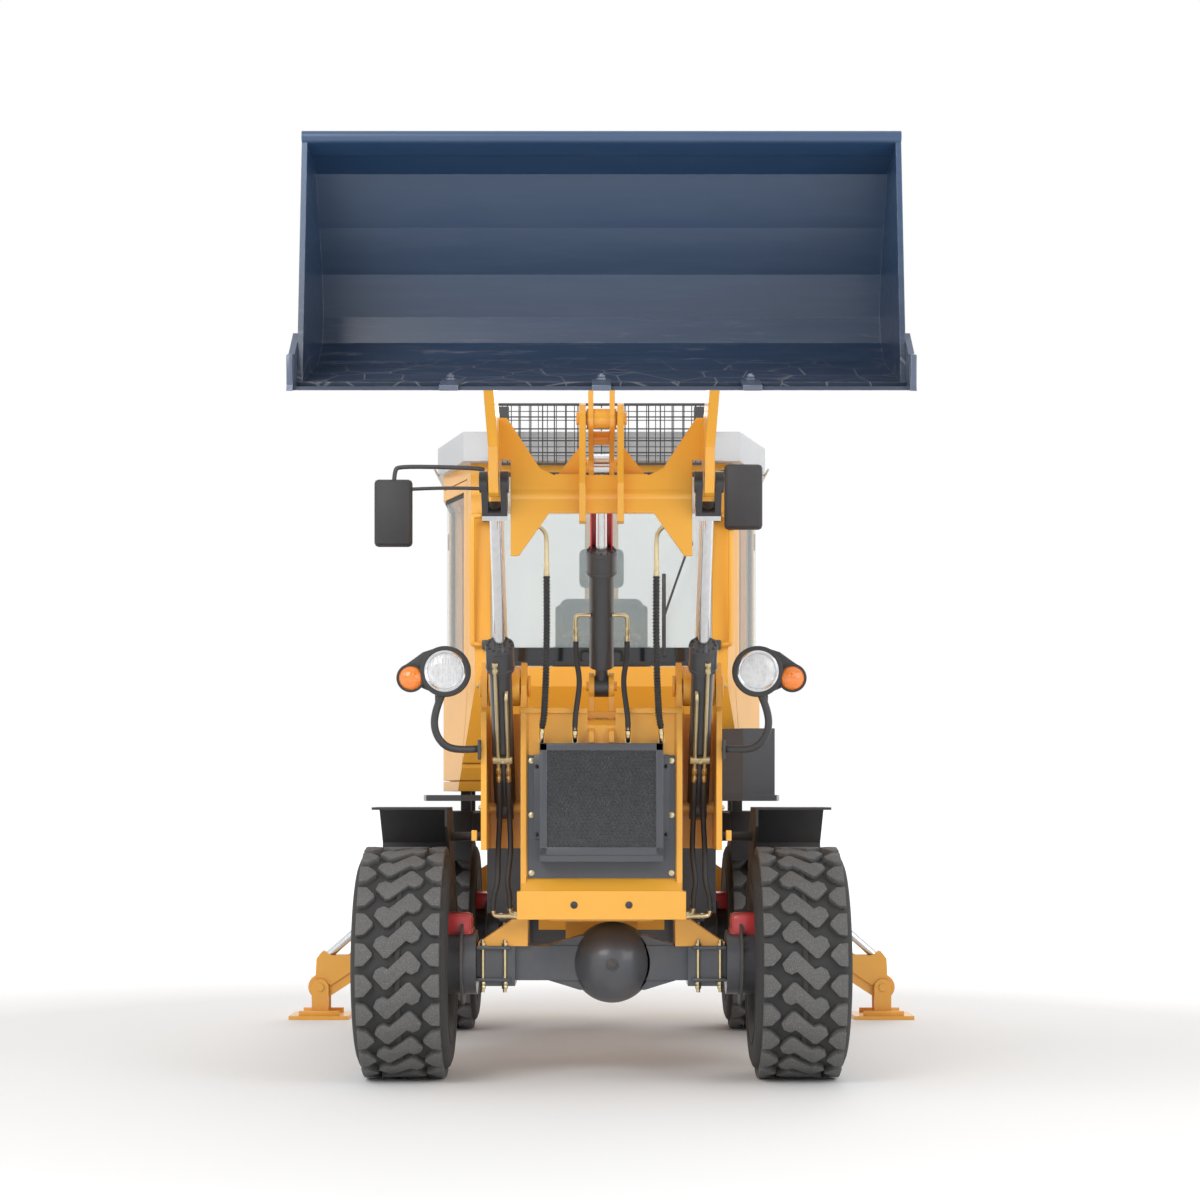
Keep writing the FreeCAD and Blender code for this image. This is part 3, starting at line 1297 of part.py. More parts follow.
def cab_side(inset):
    """The cab seen from the side, shrunk by inset, as wide as the cab."""
    return plate("yz", [
        (s.cab_foot_y + inset * 0.8, s.cab_floor + inset),
        (s.cab_front + inset, s.cab_sill - 80),
        (s.cab_front + inset, s.cab_sill),
        (s.cab_front + inset + s.cab_lean, s.cab_top - inset),
        (s.cab_back - inset, s.cab_top - inset),
        (s.cab_back - inset + 60, s.cab_sill),
        (s.cab_back - inset, s.cab_floor + inset),
    ], (-s.cab_half, s.cab_half))


def cab_walls(outer_inset, inner_inset):
    """The cab's hollow wall between two insets."""
    height = (s.cab_floor - 50, s.cab_top + 50)
    outer = common(cab_side(outer_inset), cab_plan(outer_inset, height))
    inner = common(cab_side(inner_inset), cab_plan(inner_inset, height))
    return cut(outer, inner)


SIDE_REACH = (s.cab_half_front - s.door_wall - 60, s.cab_half + 20)


def door_outline(play):
    return [
        (s.door_front + play, s.cab_floor + 50 + play),
        (s.door_front - 110 + play, s.cab_sill - 120),
        (s.door_front - 110 + play, s.cab_top - 70 - play),
        (s.door_back - play, s.cab_top - 70 - play),
        (s.door_back - play, s.cab_floor + 50 + play),
    ]


def door_window():
    return plate("yz", [
        (s.door_front - 50, s.cab_sill + 30),
        (s.door_front - 50, s.cab_top - 130),
        (s.door_back - 60, s.cab_top - 130),
        (s.door_back - 60, s.cab_sill + 30),
    ], SIDE_REACH)


def cab():
    """Floor, walls and pillars in one welded shell with its windows cut, doors, glass and roof."""
    front_span = (-s.cab_half_front + s.pillar + 20, s.cab_half_front - s.pillar - 20)
    back_span = (-s.cab_half + s.pillar + 20, s.cab_half - s.pillar - 20)
    windshield = block(front_span, (s.cab_front - 50, s.cab_front + 200), (s.cab_sill + 20, s.cab_top - 50))
    rear_window = block(back_span, (s.cab_back - 120, s.cab_back + 100), (s.cab_sill - 150, s.cab_top - 70))
    quarter = plate("yz", [
        (s.door_back + s.pillar, s.cab_sill - 120),
        (s.door_back + s.pillar, s.cab_top - 70),
        (s.cab_back - 70, s.cab_top - 70),
        (s.cab_back - 60, s.cab_sill - 120),
    ], SIDE_REACH)
    doorway = plate("yz", door_outline(0), SIDE_REACH)
    walls = cab_walls(size(0), s.door_wall)
    node("cab_shell", cut(walls, windshield, rear_window, *both(doorway), *both(quarter)))

    middle = s.door_wall / 2
    layer = cab_walls(middle - s.glass_wall / 2, middle + s.glass_wall / 2)
    node("cab_glass", common(layer, windshield), common(layer, rear_window), *both(common(layer, quarter)))
    for name, side in (("left", -1), ("right", 1)):
        def flip(thing):
            return thing if side > 0 else mirrored(thing)

        leaf = cut(common(walls, plate("yz", door_outline(s.door_play), SIDE_REACH)), door_window())
        node("door_" + name, flip(leaf))

    def roof_plan(inset, z):
        front, back = s.cab_half_front + s.roof_over - inset, s.cab_half + s.roof_over / 2 - inset
        return plate("xy", [
            (-front, s.cab_front - s.roof_over + 60 + inset),
            (-back, s.cab_shoulder_y),
            (-back, s.cab_back + s.roof_over - inset),
            (back, s.cab_back + s.roof_over - inset),
            (back, s.cab_shoulder_y),
            (front, s.cab_front - s.roof_over + 60 + inset),
        ], z)

    roof_top = s.cab_top + s.roof_wall
    roof = cut(roof_plan(0, (s.cab_top, roof_top)), roof_plan(s.roof_rim, (s.cab_top - 1, roof_top - s.roof_skin)))
    node("cab_roof", roof)


cab()


def window_guard():
    """A grid of wire before the windshield's top and the roof's edge, with a work lamp at each end."""
    y = s.cab_front - 45
    half = s.guard_half
    wire = s.guard_wire
    low, high = s.guard_low, s.guard_high
    frame_bars = [block((-half, half), (y, y + wire * 2), (z, z + wire * 2)) for z in (low, high)]
    wires = [block((-half, half), (y, y + wire), (low + (high - low) * (i / 5), low + (high - low) * (i / 5) + wire))
             for i in range(1, 5)]
    uprights = [block((half * (i / 9) - wire / 2, half * (i / 9) + wire / 2), (y + wire, y + wire * 2),
                      (low, high + wire * 2)) for i in range(-9, 10)]
    arm = block((half - 20, half + 3), (y + wire, s.cab_front - s.fit_gap), (s.cab_top + 60, s.cab_top + 80))
    lamp = block((half - 70, half + 10), (y - 60, y + 1), (s.cab_top + 190, s.cab_top + 260))
    node("window_guard", join(*frame_bars, *wires, *uprights, *both(arm), *both(lamp)))


window_guard()


def front_at(z):
    """The Y of the cab's front face, which leans back above the sill."""
    return s.cab_front + s.cab_lean * (size(z) - s.cab_sill) / (s.cab_top - s.cab_sill)


def handrails():
    """A bent rail outside each front pillar."""
    x, y = s.cab_half_front, s.cab_front - 20
    out = s.cab_half_front + 60
    pieces = [bar("z", s.rail_radius, (s.handrail_low, s.handrail_high), (out, y))]
    for z in (s.handrail_low + s.rail_radius, s.handrail_high - s.rail_radius):
        pieces.append(bar("x", s.rail_radius, (x - 20, out), (y, z)))
        pieces.append(block((x - 50, x - 10), (y - 15, front_at(z - 25) - s.fit_gap), (z - 25, z + 25)))
    return both(join(*pieces))


def mirrors():
    """A mirror each side on its tubes: a long arm on the left, a short one on the right."""
    y = s.cab_front - 60
    half = s.mirror_width / 2
    pieces = []
    for side, middle, low in ((-1, s.mirror_left_x, s.mirror_left_low), (1, s.mirror_right_x, s.mirror_right_low)):
        face = block((middle - half, middle + half), (y - 20, y + 20), (low, low + s.mirror_height))
        root = low + s.mirror_height - 60
        arm = bar("x", 11, (s.cab_half_front - 40, middle), (y + 26, root))
        foot = block((s.cab_half_front - 60, s.cab_half_front - 20), (y + 16, front_at(root - 30) - s.fit_gap),
                     (root - 30, root + 30))
        piece = join(face, arm, foot)
        pieces.append(piece if side > 0 else mirrored(piece))
    return pieces


node("mirrors_and_rails", *handrails(), *mirrors())


def seat():
    """Seat on its pedestal, with backrest and headrest."""
    half = s.seat_width / 2
    y = s.seat_y
    cushion = block((-half, half), (y - 250, y + 220), (s.seat_height, s.seat_height + 130))
    back = block((-half + 20, half - 20), (y + 170, y + 280), (s.seat_height + 100, s.seat_height + 720))
    head = block((-150, 150), (y + 180, y + 270), (s.seat_height + 720, s.seat_height + 960))
    stand = block((-180, 180), (y - 180, y + 180), (s.cab_floor + s.door_wall, s.seat_height + 5))
    node("seat", join(cushion, back, head, stand))


seat()


def steering():
    """Console, column and wheel: one fixed piece on the cab's floor."""
    console = block((-150, 150), (s.column_y - 100, s.column_y + 40), (s.cab_floor + s.door_wall, s.column_z - 200))
    column = bar("z", 30, (s.column_z - 210, s.column_z + 10), (0, s.column_y - 20))
    ring = doc.addObject("Part::Torus", "ring")
    bind(ring, "Radius1", s.wheel_ring_radius)
    bind(ring, "Radius2", s.wheel_ring_wire)
    put(ring, 0, s.column_y - 20, s.column_z)
    spoke = bar("x", 12, (-s.wheel_ring_radius, s.wheel_ring_radius), (s.column_y - 20, s.column_z))
    node("steering_console", join(console, column, ring, spoke))


steering()


def steps():
    """Step plates each side below the doors, on boxes that hang from the rails, and a tank on one side."""
    clear_y, clear_x = s.sweep_back_y, s.sweep_front_x
    tread = plate("xy", [
        (s.step_in, clear_y), (s.box_out, clear_y - 15), (clear_x, s.tank_front),
        (s.tank_out + 10, s.tank_front), (s.step_out, s.step_front), (s.step_out, s.step_back),
        (s.step_in, s.step_back),
    ], (s.step_z, s.step_z + s.step_wall))
    box = block((s.rail_out, s.box_out), (s.step_front + 20, s.step_back - 20), (s.box_low, s.step_z + 1))
    tank = plate("xy", [
        (s.box_out + 3, clear_y - 14), (clear_x + 4, s.tank_front + 5), (s.tank_out, s.tank_front + 5),
        (s.tank_out, s.tank_front + 220), (s.box_out + 3, s.tank_front + 220),
    ], (s.step_z + s.step_wall - 1, s.tank_high))
    left = mirrored(join(tread, box))
    node("side_steps", join(tread, box, tank), left)


steps()


def rear_fenders():
    """Flat-topped fenders over the rear tyres, carried by the cab's floor."""
    y = s.axle_base
    profile = [
        (y - 600, s.rear_fender_top - 260),
        (y - 420, s.rear_fender_top),
        (y + 420, s.rear_fender_top),
        (y + 515, s.rear_fender_top - 140),
        (y + 515 - s.fender_wall, s.rear_fender_top - 146),
        (y + 416, s.rear_fender_top - s.fender_wall),
        (y - 414, s.rear_fender_top - s.fender_wall),
        (y - 600 + s.fender_wall, s.rear_fender_top - 266),
    ]
    sheet_metal = plate("yz", profile, (s.fender_in - 20, s.fender_out + 20))
    bracket_x = slab(s.fender_in, s.bracket_width)
    bracket = block(bracket_x, (y - 300, y - 220), (s.rear_fender_top - 1, s.cab_floor))
    bracket_back = block(bracket_x, (y + 100, y + 180), (s.rear_fender_top - 1, s.cab_floor))
    node("rear_fenders", *both(join(sheet_metal, bracket, bracket_back)))


rear_fenders()


# ---------------------------------------------------------------- stabilisers

def stabilisers():
    """Legs that swing down and out, their feet, and the cylinders that push them down."""
    y = (s.leg_y - s.leg_half_depth, s.leg_y + s.leg_half_depth)
    root = (s.leg_root_x, s.leg_root_z)
    foot = (s.leg_foot_x, s.leg_foot_z)
    eye = (s.leg_eye_x, s.leg_eye_z)
    base = (s.jack_base_x, s.jack_base_z)
    reach = hypot(eye[0] - base[0], base[1] - eye[1])
    turn = angle_of(eye[0] - base[0], eye[1] - base[1])
    for name, side in (("left", -1), ("right", 1)):
        def flip(thing):
            return thing if side > 0 else mirrored(thing)

        beam = strap("xz", root, foot, s.leg_half_width, y)
        ears = [plate("xz", [
            (s.leg_foot_x - 330, s.leg_foot_z + 190),
            (s.leg_foot_x - 60, s.leg_foot_z + 10),
            (s.leg_foot_x + 30, s.leg_foot_z + 60),
            (s.leg_eye_x + 46, s.leg_eye_z),
            (s.leg_eye_x + 10, s.leg_eye_z + 46),
            (s.leg_eye_x - 46, s.leg_eye_z + 20),
        ], span) for span in ((y[0] - s.leg_ear_wall, y[0] + 1), (y[1] - 1, y[1] + s.leg_ear_wall))]
        bore = bar("y", s.leg_pin_radius + s.pin_play, (y[0] - 1, y[1] + 1), root)
        foot_bore = bar("y", s.leg_pin_radius + s.pin_play, (y[0] - 20, y[1] + 20), foot)
        slot = bar("y", 78, (y[0] + 1, y[1] - 1), eye)
        node("stabiliser_leg_" + name, flip(cut(join(beam, *ears), bore, foot_bore, slot)))

        cheek_in = (y[0] - s.leg_ear_wall - 24, y[0] - s.leg_ear_wall - 3)
        cheek_out = (y[1] + s.leg_ear_wall + 3, y[1] + s.leg_ear_wall + 24)
        pad = join(
            block((s.leg_foot_x - s.foot_half_width, s.leg_foot_x + s.foot_half_width),
                  (s.leg_y - s.foot_half_depth, s.leg_y + s.foot_half_depth), (0, s.foot_wall)),
            *[block((s.leg_foot_x - 50, s.leg_foot_x + 50), cheek, (s.foot_wall - 1, s.leg_foot_z))
              for cheek in (cheek_in, cheek_out)],
            *[bar("y", 50, cheek, foot) for cheek in (cheek_in, cheek_out)],
            bar("y", s.leg_pin_radius, (cheek_in[0] - 6, cheek_out[1] + 6), foot),
        )
        node("stabiliser_foot_" + name, flip(pad))

        barrel = barrel_of(s.jack_barrel_radius, (s.jack_barrel_radius + 8, 80), s.jack_barrel_length,
                           s.jack_rod_radius, (s.base_eye_radius - 7, s.lug_gap - 1),
                           s.leg_pin_radius + s.pin_play, "y")
        node("jack_barrel_" + name, flip(frame(barrel, base[0], s.leg_y, base[1], turn_y=turn)))
        rod = rod_of(s.jack_rod_radius, s.base_eye_radius + 28 + s.jack_stroke_in, reach,
                     (40, s.leg_half_depth - 6), "y")
        node("jack_rod_" + name, flip(frame(rod, base[0], s.leg_y, base[1], turn_y=turn)))


stabilisers()


# ---------------------------------------------------------------- backhoe

def swing_post():
    """The casting that turns on the carriage's pin and holds the boom's foot and cylinder."""
    knuckle_z = (s.swing_lower + s.swing_plate + 8, s.swing_upper - 8)
    half = s.boom_half_width + 4
    foot = (s.boom_foot_y, s.boom_foot_z)
    base = BOOM_RAM_BASE
    upper = s.swing_upper + s.swing_plate + 32
    cheek = plate("yz", [
        (s.swing_y + 30, knuckle_z[0] + 12),
        (foot[0] - 10, foot[1] - 280),
        (foot[0] + 95, foot[1] - 90),
        (foot[0] + 95, foot[1] + 40),
        (foot[0] + 20, foot[1] + 115),
        (s.swing_y + 40, base[1] + 60),
        (base[0] - 40, base[1] + 62),
        (base[0] - 62, base[1]),
        (base[0] - 30, upper),
        (s.swing_y + s.swing_ear_radius + 10, upper),
        (s.swing_y + s.swing_ear_radius + 10, knuckle_z[1]),
        (s.swing_y + 30, knuckle_z[1]),
    ], slab(half, s.post_wall))
    knuckle = bar("z", s.swing_ear_radius - 10, knuckle_z, (0, s.swing_y))
    tie = block((-half - 1, half + 1), (s.swing_y, s.swing_y + s.swing_ear_radius), knuckle_z)
    bore = bar("z", s.swing_pin_radius + s.pin_play, (knuckle_z[0] - 1, knuckle_z[1] + 1), (0, s.swing_y))
    span = (-half - s.post_wall - 10, half + s.post_wall + 10)
    foot_pin = bar("x", s.boom_pin_radius, span, foot)
    ram_pin = bar("x", s.boom_pin_radius - 7, span, base)
    collar = bar("x", 52, (s.boom_slot_half, half + 1), base)
    ram_collars = both(cut(collar, bar("x", s.boom_pin_radius - 7, span, base)))
    node("swing_post", cut(join(*both(cheek), knuckle, tie, foot_pin, ram_pin, *ram_collars), bore))


def on_boom(across, along):
    """A place on the boom: across is towards the back, along runs from its foot to its tip."""
    a, b = size(across), size(along)
    y = s.boom_foot_y + a * cosine(s.boom_angle) - b * sine(s.boom_angle)
    z = s.boom_foot_z + a * sine(s.boom_angle) + b * cosine(s.boom_angle)
    return y, z


BOOM_RAM_BASE = on_boom(s.boom_ram_base_y, s.boom_ram_base_z)
BOOM_RAM_EYE = on_boom(s.boom_ram_eye_y, s.boom_ram_eye_z)
BOOM_TIP = on_boom(0, s.boom_length)
DIPPER_TURN = s.boom_angle + s.dipper_angle


def on_dipper(across, along):
    """A place on the dipper: along is negative towards the bucket, across is towards the outside."""
    a, b = size(across), size(along)
    y = BOOM_TIP[0] + a * cosine(DIPPER_TURN) - b * sine(DIPPER_TURN)
    z = BOOM_TIP[1] + a * sine(DIPPER_TURN) + b * cosine(DIPPER_TURN)
    return y, z


def boom():
    """A bent box with a fork at the foot for its cylinder and one at the tip for the dipper."""
    half = s.boom_half_width
    tip = s.boom_length
    slot = s.boom_slot_half
    bore = s.boom_pin_radius + s.pin_play
    beam = plate("yz", [
        (-82, -30), (-95, 60), (-100, 450), (-205, 960), (-190, 1250), (-80, tip + 10),
        (-30, tip + 80), (45, tip + 80), (90, tip), (5, 1250), (0, 960), (95, 450), (95, 0), (45, -85), (-40, -85),
    ], (-half, half))
    ear_low, ear_high = s.boom_ram_eye_z, s.dipper_ram_base_z
    foot_slot = plate("yz", [
        (-300, -140), (45, -140), (45, 430), (-60, ear_low - 60), (-60, ear_low + 80), (-300, ear_low + 110),
    ], (-slot, slot))
    tip_slot = plate("yz", [(-300, tip - 400), (200, tip - 400), (200, tip + 200), (-300, tip + 200)], (-slot, slot))
    ear = plate("yz", [
        (-150, ear_low - 150), (s.boom_ram_eye_y - 30, ear_low - 45), (s.boom_ram_eye_y - 55, ear_low),
        (s.dipper_ram_base_y - 55, ear_high), (s.dipper_ram_base_y - 30, ear_high + 45), (-150, ear_high + 150),
    ], slab(slot, 24))
    caps = [bar("x", 30, slab(slot + 24, 12), place) for place in
            ((s.boom_ram_eye_y, s.boom_ram_eye_z), (s.dipper_ram_base_y, s.dipper_ram_base_z))]
    tip_pin = bar("x", s.boom_pin_radius, (-half - 12, half + 12), (0, tip))
    ram_pin = bar("x", s.boom_pin_radius - 7, (-slot - 24, slot + 24), (s.dipper_ram_base_y, s.dipper_ram_base_z))
    body = join(cut(beam, foot_slot, tip_slot, bar("x", bore, (-half - 1, half + 1), (0, 0))),
                *both(ear), *both(caps[0]), *both(caps[1]), tip_pin, ram_pin)
    node("boom", frame(body, 0, s.boom_foot_y, s.boom_foot_z, turn_x=s.boom_angle))


def dipper():
    """A box that tapers to the bucket's hinge, with a tail for its cylinder."""
    half = s.dipper_half_width
    length = s.dipper_length
    bore = s.boom_pin_radius + s.pin_play
    beam = plate("yz", [
        (-40, s.dipper_tail + 45), (40, s.dipper_tail + 45), (60, s.dipper_tail - 20), (85, 0), (85, -420),
        (62, -length + 100), (45, -length - 40), (0, -length - 58), (-45, -length - 40), (-62, -length + 100),
        (-85, -400), (-85, 0), (-55, s.dipper_tail - 20),
    ], (-half, half))
    tail_slot = plate("yz", [(-100, s.dipper_tail - 178), (100, s.dipper_tail - 178), (100, s.dipper_tail + 80),
                             (-100, s.dipper_tail + 80)], (-half + 18, half - 18))
    ear = plate("yz", [(60, -130), (s.digger_ram_base_y + 30, -s.digger_ram_base_z + 40),
                       (s.digger_ram_base_y + 50, -s.digger_ram_base_z), (s.digger_ram_base_y + 20, -s.digger_ram_base_z - 50),
                       (60, -420)], slab(half - 5, 18))
    tail_cap = bar("x", 30, slab(half, 6), (0, s.dipper_tail))
    ram_pin = bar("x", 25, (-half - 16, half + 16), (s.digger_ram_base_y, -s.digger_ram_base_z))
    hinge_pin = bar("x", 28, (-half - 46, half + 46), (0, -length))
    guide_pin = bar("x", 24, (-half - 24, half + 24), (0, -s.guide_z))
    body = join(cut(beam, tail_slot, bar("x", bore, (-half - 1, half + 1), (0, 0))),
                *both(ear), *both(tail_cap), ram_pin, hinge_pin, guide_pin)
    node("dipper", frame(body, 0, BOOM_TIP[0], BOOM_TIP[1], turn_x=DIPPER_TURN))


def polar(radius, angle):
    """Across and along of a point at an angle from straight down the dipper, towards its outside."""
    return size(radius) * sine(angle), -(size(radius) * cosine(angle))


def digging_bucket():
    """A narrow bucket with its back shell, sides, ears and five teeth, curled up to the boom."""
    half = s.digger_half_width
    radius = s.digger_radius
    wall = s.digger_wall
    hinge_z = -s.dipper_length

    def at(distance, turn):
        a, b = polar(distance, -s.digger_turn + turn)
        return a, hinge_z + b

    outer = [at(radius - 90, 0), at(radius - 60, 14), at(radius - 50, 32), at(radius - 80, 50), at(radius * 0.78, 70),
             at(radius * 0.58, 92), at(radius * 0.37, 120), at(112, 133)]
    inner = [at(98, 121), at(radius * 0.37 - wall, 116), at(radius * 0.58 - wall, 91), at(radius * 0.78 - wall, 69),
             at(radius - 80 - wall, 50), at(radius - 50 - wall, 32), at(radius - 60 - wall, 14),
             at(radius - 90 - wall * 0.5, 0)]
    shell = plate("yz", outer + inner, (-half, half))
    side = plate("yz", outer + [at(60, 60), at(300, 18)], (half - wall, half))
    lip = plate("yz", [at(radius - 160, 3), at(radius - 80, -1), at(radius - 60, 5), at(radius - 150, 9)], (-half, half))
    teeth = [plate("yz", [at(radius - 110, 5), at(radius, 0), at(radius - 110, -1)],
                   (half * (i / 2.4) - 28, half * (i / 2.4) + 28)) for i in (-2, -1, 0, 1, 2)]
    ear_x = s.dipper_half_width + 8
    eye = at(s.digger_ear, s.digger_ear_angle)
    ears = plate("yz", [at(62, -60), at(66, 0), at(240, 60), at(300, 100), (eye[0] + 10, eye[1] - 45),
                        (eye[0] + 46, eye[1]), (eye[0] + 20, eye[1] + 45), at(62, 230)], slab(ear_x, 20))
    boss = bar("x", 62, slab(ear_x, 36), (0, hinge_z))
    bore = bar("x", 28 + s.pin_play, (-half, half), (0, hinge_z))
    cap = bar("x", 28, slab(ear_x + 20, 10), eye)
    body = cut(join(shell, *both(side), lip, *teeth, *both(ears), *both(boss), *both(cap)), bore)
    node("digging_bucket", frame(body, 0, BOOM_TIP[0], BOOM_TIP[1], turn_x=DIPPER_TURN))
    return eye


def digger_links(eye):
    """The guide levers on the dipper and the push link from them to the bucket."""
    swing = polar(s.guide_length, s.guide_angle)
    knee = (swing[0], swing[1] - s.guide_z)
    pivot = (size(0), -s.guide_z)
    span = slab(s.dipper_half_width + 4, s.guide_wall)
    bore = bar("x", 24 + s.pin_play, (-s.dipper_half_width - 30, s.dipper_half_width + 30), pivot)
    guides = strap("yz", pivot, knee, 38, span)
    knee_pin = bar("x", 22, slab(30 + s.fit_gap, s.dipper_half_width + s.guide_wall - 26), knee)
    node("bucket_guide", frame(cut(join(*both(guides), *both(knee_pin)), bore), 0, BOOM_TIP[0], BOOM_TIP[1],
                               turn_x=DIPPER_TURN))
    link_bar = strap("yz", knee, eye, 36, slab(s.dipper_half_width - 17, 14))
    tie = bar("x", 20, (-s.dipper_half_width + 10, s.dipper_half_width - 10), ((knee[0] + eye[0]) / 2,
                                                                            (knee[1] + eye[1]) / 2))
    eyes = bar("x", 36, (-s.dipper_half_width + 3, s.dipper_half_width - 3), eye)
    link_bore = bar("x", 22 + s.pin_play, (-100, 100), knee)
    node("bucket_link", frame(cut(join(*both(link_bar), tie, eyes), link_bore), 0, BOOM_TIP[0], BOOM_TIP[1],
                              turn_x=DIPPER_TURN))
    return knee


def digger_rams(knee):
    """The boom's, the dipper's and the bucket's cylinders."""
    gland = (s.digger_ram_radius + 8, 80)
    tail = on_dipper(0, s.dipper_tail)
    base_pin = s.boom_pin_radius - 7 + s.pin_play
    rams = (
        ("boom", BOOM_RAM_BASE, BOOM_RAM_EYE, s.boom_ram_barrel, s.boom_ram_start, s.boom_slot_half - 8,
         s.boom_slot_half - 8, base_pin),
        ("dipper", on_boom(s.dipper_ram_base_y, s.dipper_ram_base_z), tail, s.dipper_ram_barrel,
         s.dipper_ram_start, s.boom_slot_half - 8, s.dipper_half_width - 24, base_pin),
        ("digger", on_dipper(s.digger_ram_base_y, -s.digger_ram_base_z), on_dipper(knee[0], knee[1]),
         s.digger_ram_barrel, s.digger_ram_start, s.dipper_half_width - 8, 30, 25 + s.pin_play),
    )
    for name, base, eye, length, start, base_half, eye_half, pin in rams:
        turn = aim_yz(base, eye)
        barrel = barrel_of(s.digger_ram_radius, gland, length, s.digger_rod_radius, (50, base_half), pin)
        node(name + "_barrel", frame(barrel, 0, base[0], base[1], turn_x=turn))
        rod = rod_of(s.digger_rod_radius, start, span_yz(base, eye), (40, eye_half))
        node(name + "_rod", frame(rod, 0, base[0], base[1], turn_x=turn))


swing_post()
boom()
dipper()
DIGGER_EYE = digging_bucket()
DIGGER_KNEE = digger_links(DIGGER_EYE)
digger_rams(DIGGER_KNEE)


# ---------------------------------------------------------------- writing

doc.recompute()
for thing in doc.Objects:
    if "Invalid" in thing.State or "Error" in thing.State:
        raise RuntimeError("%s failed: %s" % (thing.Label, thing.State))

os.makedirs("parts", exist_ok=True)
for piece in NODES:
    shape = piece.Shape
    if shape.isNull() or not shape.isValid():
        raise RuntimeError("%s has no valid shape" % piece.Label)
    shape.exportStep("parts/%s.step" % piece.Label)
print(len(NODES), "sub-parts written")
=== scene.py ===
import bpy
import json
import math
from mathutils import Matrix, Vector


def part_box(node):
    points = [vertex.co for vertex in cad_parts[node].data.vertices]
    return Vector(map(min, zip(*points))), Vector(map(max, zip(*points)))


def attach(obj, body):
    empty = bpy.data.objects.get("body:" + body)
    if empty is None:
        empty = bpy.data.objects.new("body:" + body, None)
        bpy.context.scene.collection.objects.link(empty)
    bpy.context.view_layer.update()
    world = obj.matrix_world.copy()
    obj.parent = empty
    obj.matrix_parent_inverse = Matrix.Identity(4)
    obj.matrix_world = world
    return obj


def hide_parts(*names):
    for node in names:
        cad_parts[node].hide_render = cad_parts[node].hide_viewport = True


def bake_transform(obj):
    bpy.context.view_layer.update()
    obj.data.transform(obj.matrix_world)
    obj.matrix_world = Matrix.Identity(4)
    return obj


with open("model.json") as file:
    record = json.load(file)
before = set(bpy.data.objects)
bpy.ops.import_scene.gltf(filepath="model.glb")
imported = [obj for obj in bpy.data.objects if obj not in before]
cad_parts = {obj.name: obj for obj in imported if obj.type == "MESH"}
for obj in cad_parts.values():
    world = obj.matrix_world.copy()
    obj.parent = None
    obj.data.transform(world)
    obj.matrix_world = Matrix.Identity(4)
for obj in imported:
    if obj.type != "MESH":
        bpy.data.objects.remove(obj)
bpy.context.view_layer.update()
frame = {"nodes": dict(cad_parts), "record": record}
nodes = frame["nodes"]
frontLow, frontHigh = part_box("front_left_tyre")
axleY = (frontLow.y + frontHigh.y) / 2     # all places below are measured from the front axle
print("stage: frame loaded")


# ---- small tools for modelling

def clearSelection():
    if bpy.context.object and bpy.context.object.mode != "OBJECT":
        bpy.ops.object.mode_set(mode="OBJECT")
    bpy.ops.object.select_all(action="DESELECT")


def pick(piece):
    clearSelection()
    piece.select_set(True)
    bpy.context.view_layer.objects.active = piece


def settle(piece):
    pick(piece)
    bpy.ops.object.transform_apply(location=True, rotation=True, scale=True)
    return piece


def bevelEdges(piece, width, segments=2, angle=35):
    pick(piece)
    bevel = piece.modifiers.new("bevel", "BEVEL")
    bevel.width = width
    bevel.segments = segments
    bevel.limit_method = "ANGLE"
    bevel.angle_limit = math.radians(angle)
    bpy.ops.object.modifier_apply(modifier=bevel.name)
    bpy.ops.object.shade_smooth_by_angle(angle=math.radians(40))
    return piece


def boxPiece(name, low, high, edge=0.003):
    clearSelection()
    middle = [(a + b) / 2 for a, b in zip(low, high)]
    bpy.ops.mesh.primitive_cube_add(size=1, location=middle)
    piece = bpy.context.object
    piece.name = name
    piece.scale = [abs(b - a) for a, b in zip(low, high)]
    settle(piece)
    return bevelEdges(piece, edge) if edge else piece


def rodPiece(name, start, end, radius, sides=20, edge=0.0):
    clearSelection()
    start, end = Vector(start), Vector(end)
    run = end - start
    turn = run.to_track_quat("Z", "Y").to_euler()
    bpy.ops.mesh.primitive_cylinder_add(vertices=sides, radius=radius, depth=run.length,
                                        location=(start + end) / 2, rotation=turn)
    piece = bpy.context.object
    piece.name = name
    settle(piece)
    if edge:
        bevelEdges(piece, edge)
    else:
        bpy.ops.object.shade_smooth_by_angle(angle=math.radians(40))
    return piece


def tubePiece(name, points, radius, around=5):
    clearSelection()
    curve = bpy.data.curves.new(name, "CURVE")
    curve.dimensions = "3D"
    spline = curve.splines.new("NURBS")
    spline.points.add(len(points) - 1)
    for point, place in zip(spline.points, points):
        point.co = (*place, 1)
    spline.order_u = 3
    spline.use_endpoint_u = True
    spline.resolution_u = 8
    curve.bevel_depth = radius
    curve.bevel_resolution = around
    curve.use_fill_caps = True
    piece = bpy.data.objects.new(name, curve)
    bpy.context.scene.collection.objects.link(piece)
    pick(piece)
    bpy.ops.object.convert(target="MESH")
    bpy.ops.object.shade_smooth()
    return bpy.context.object


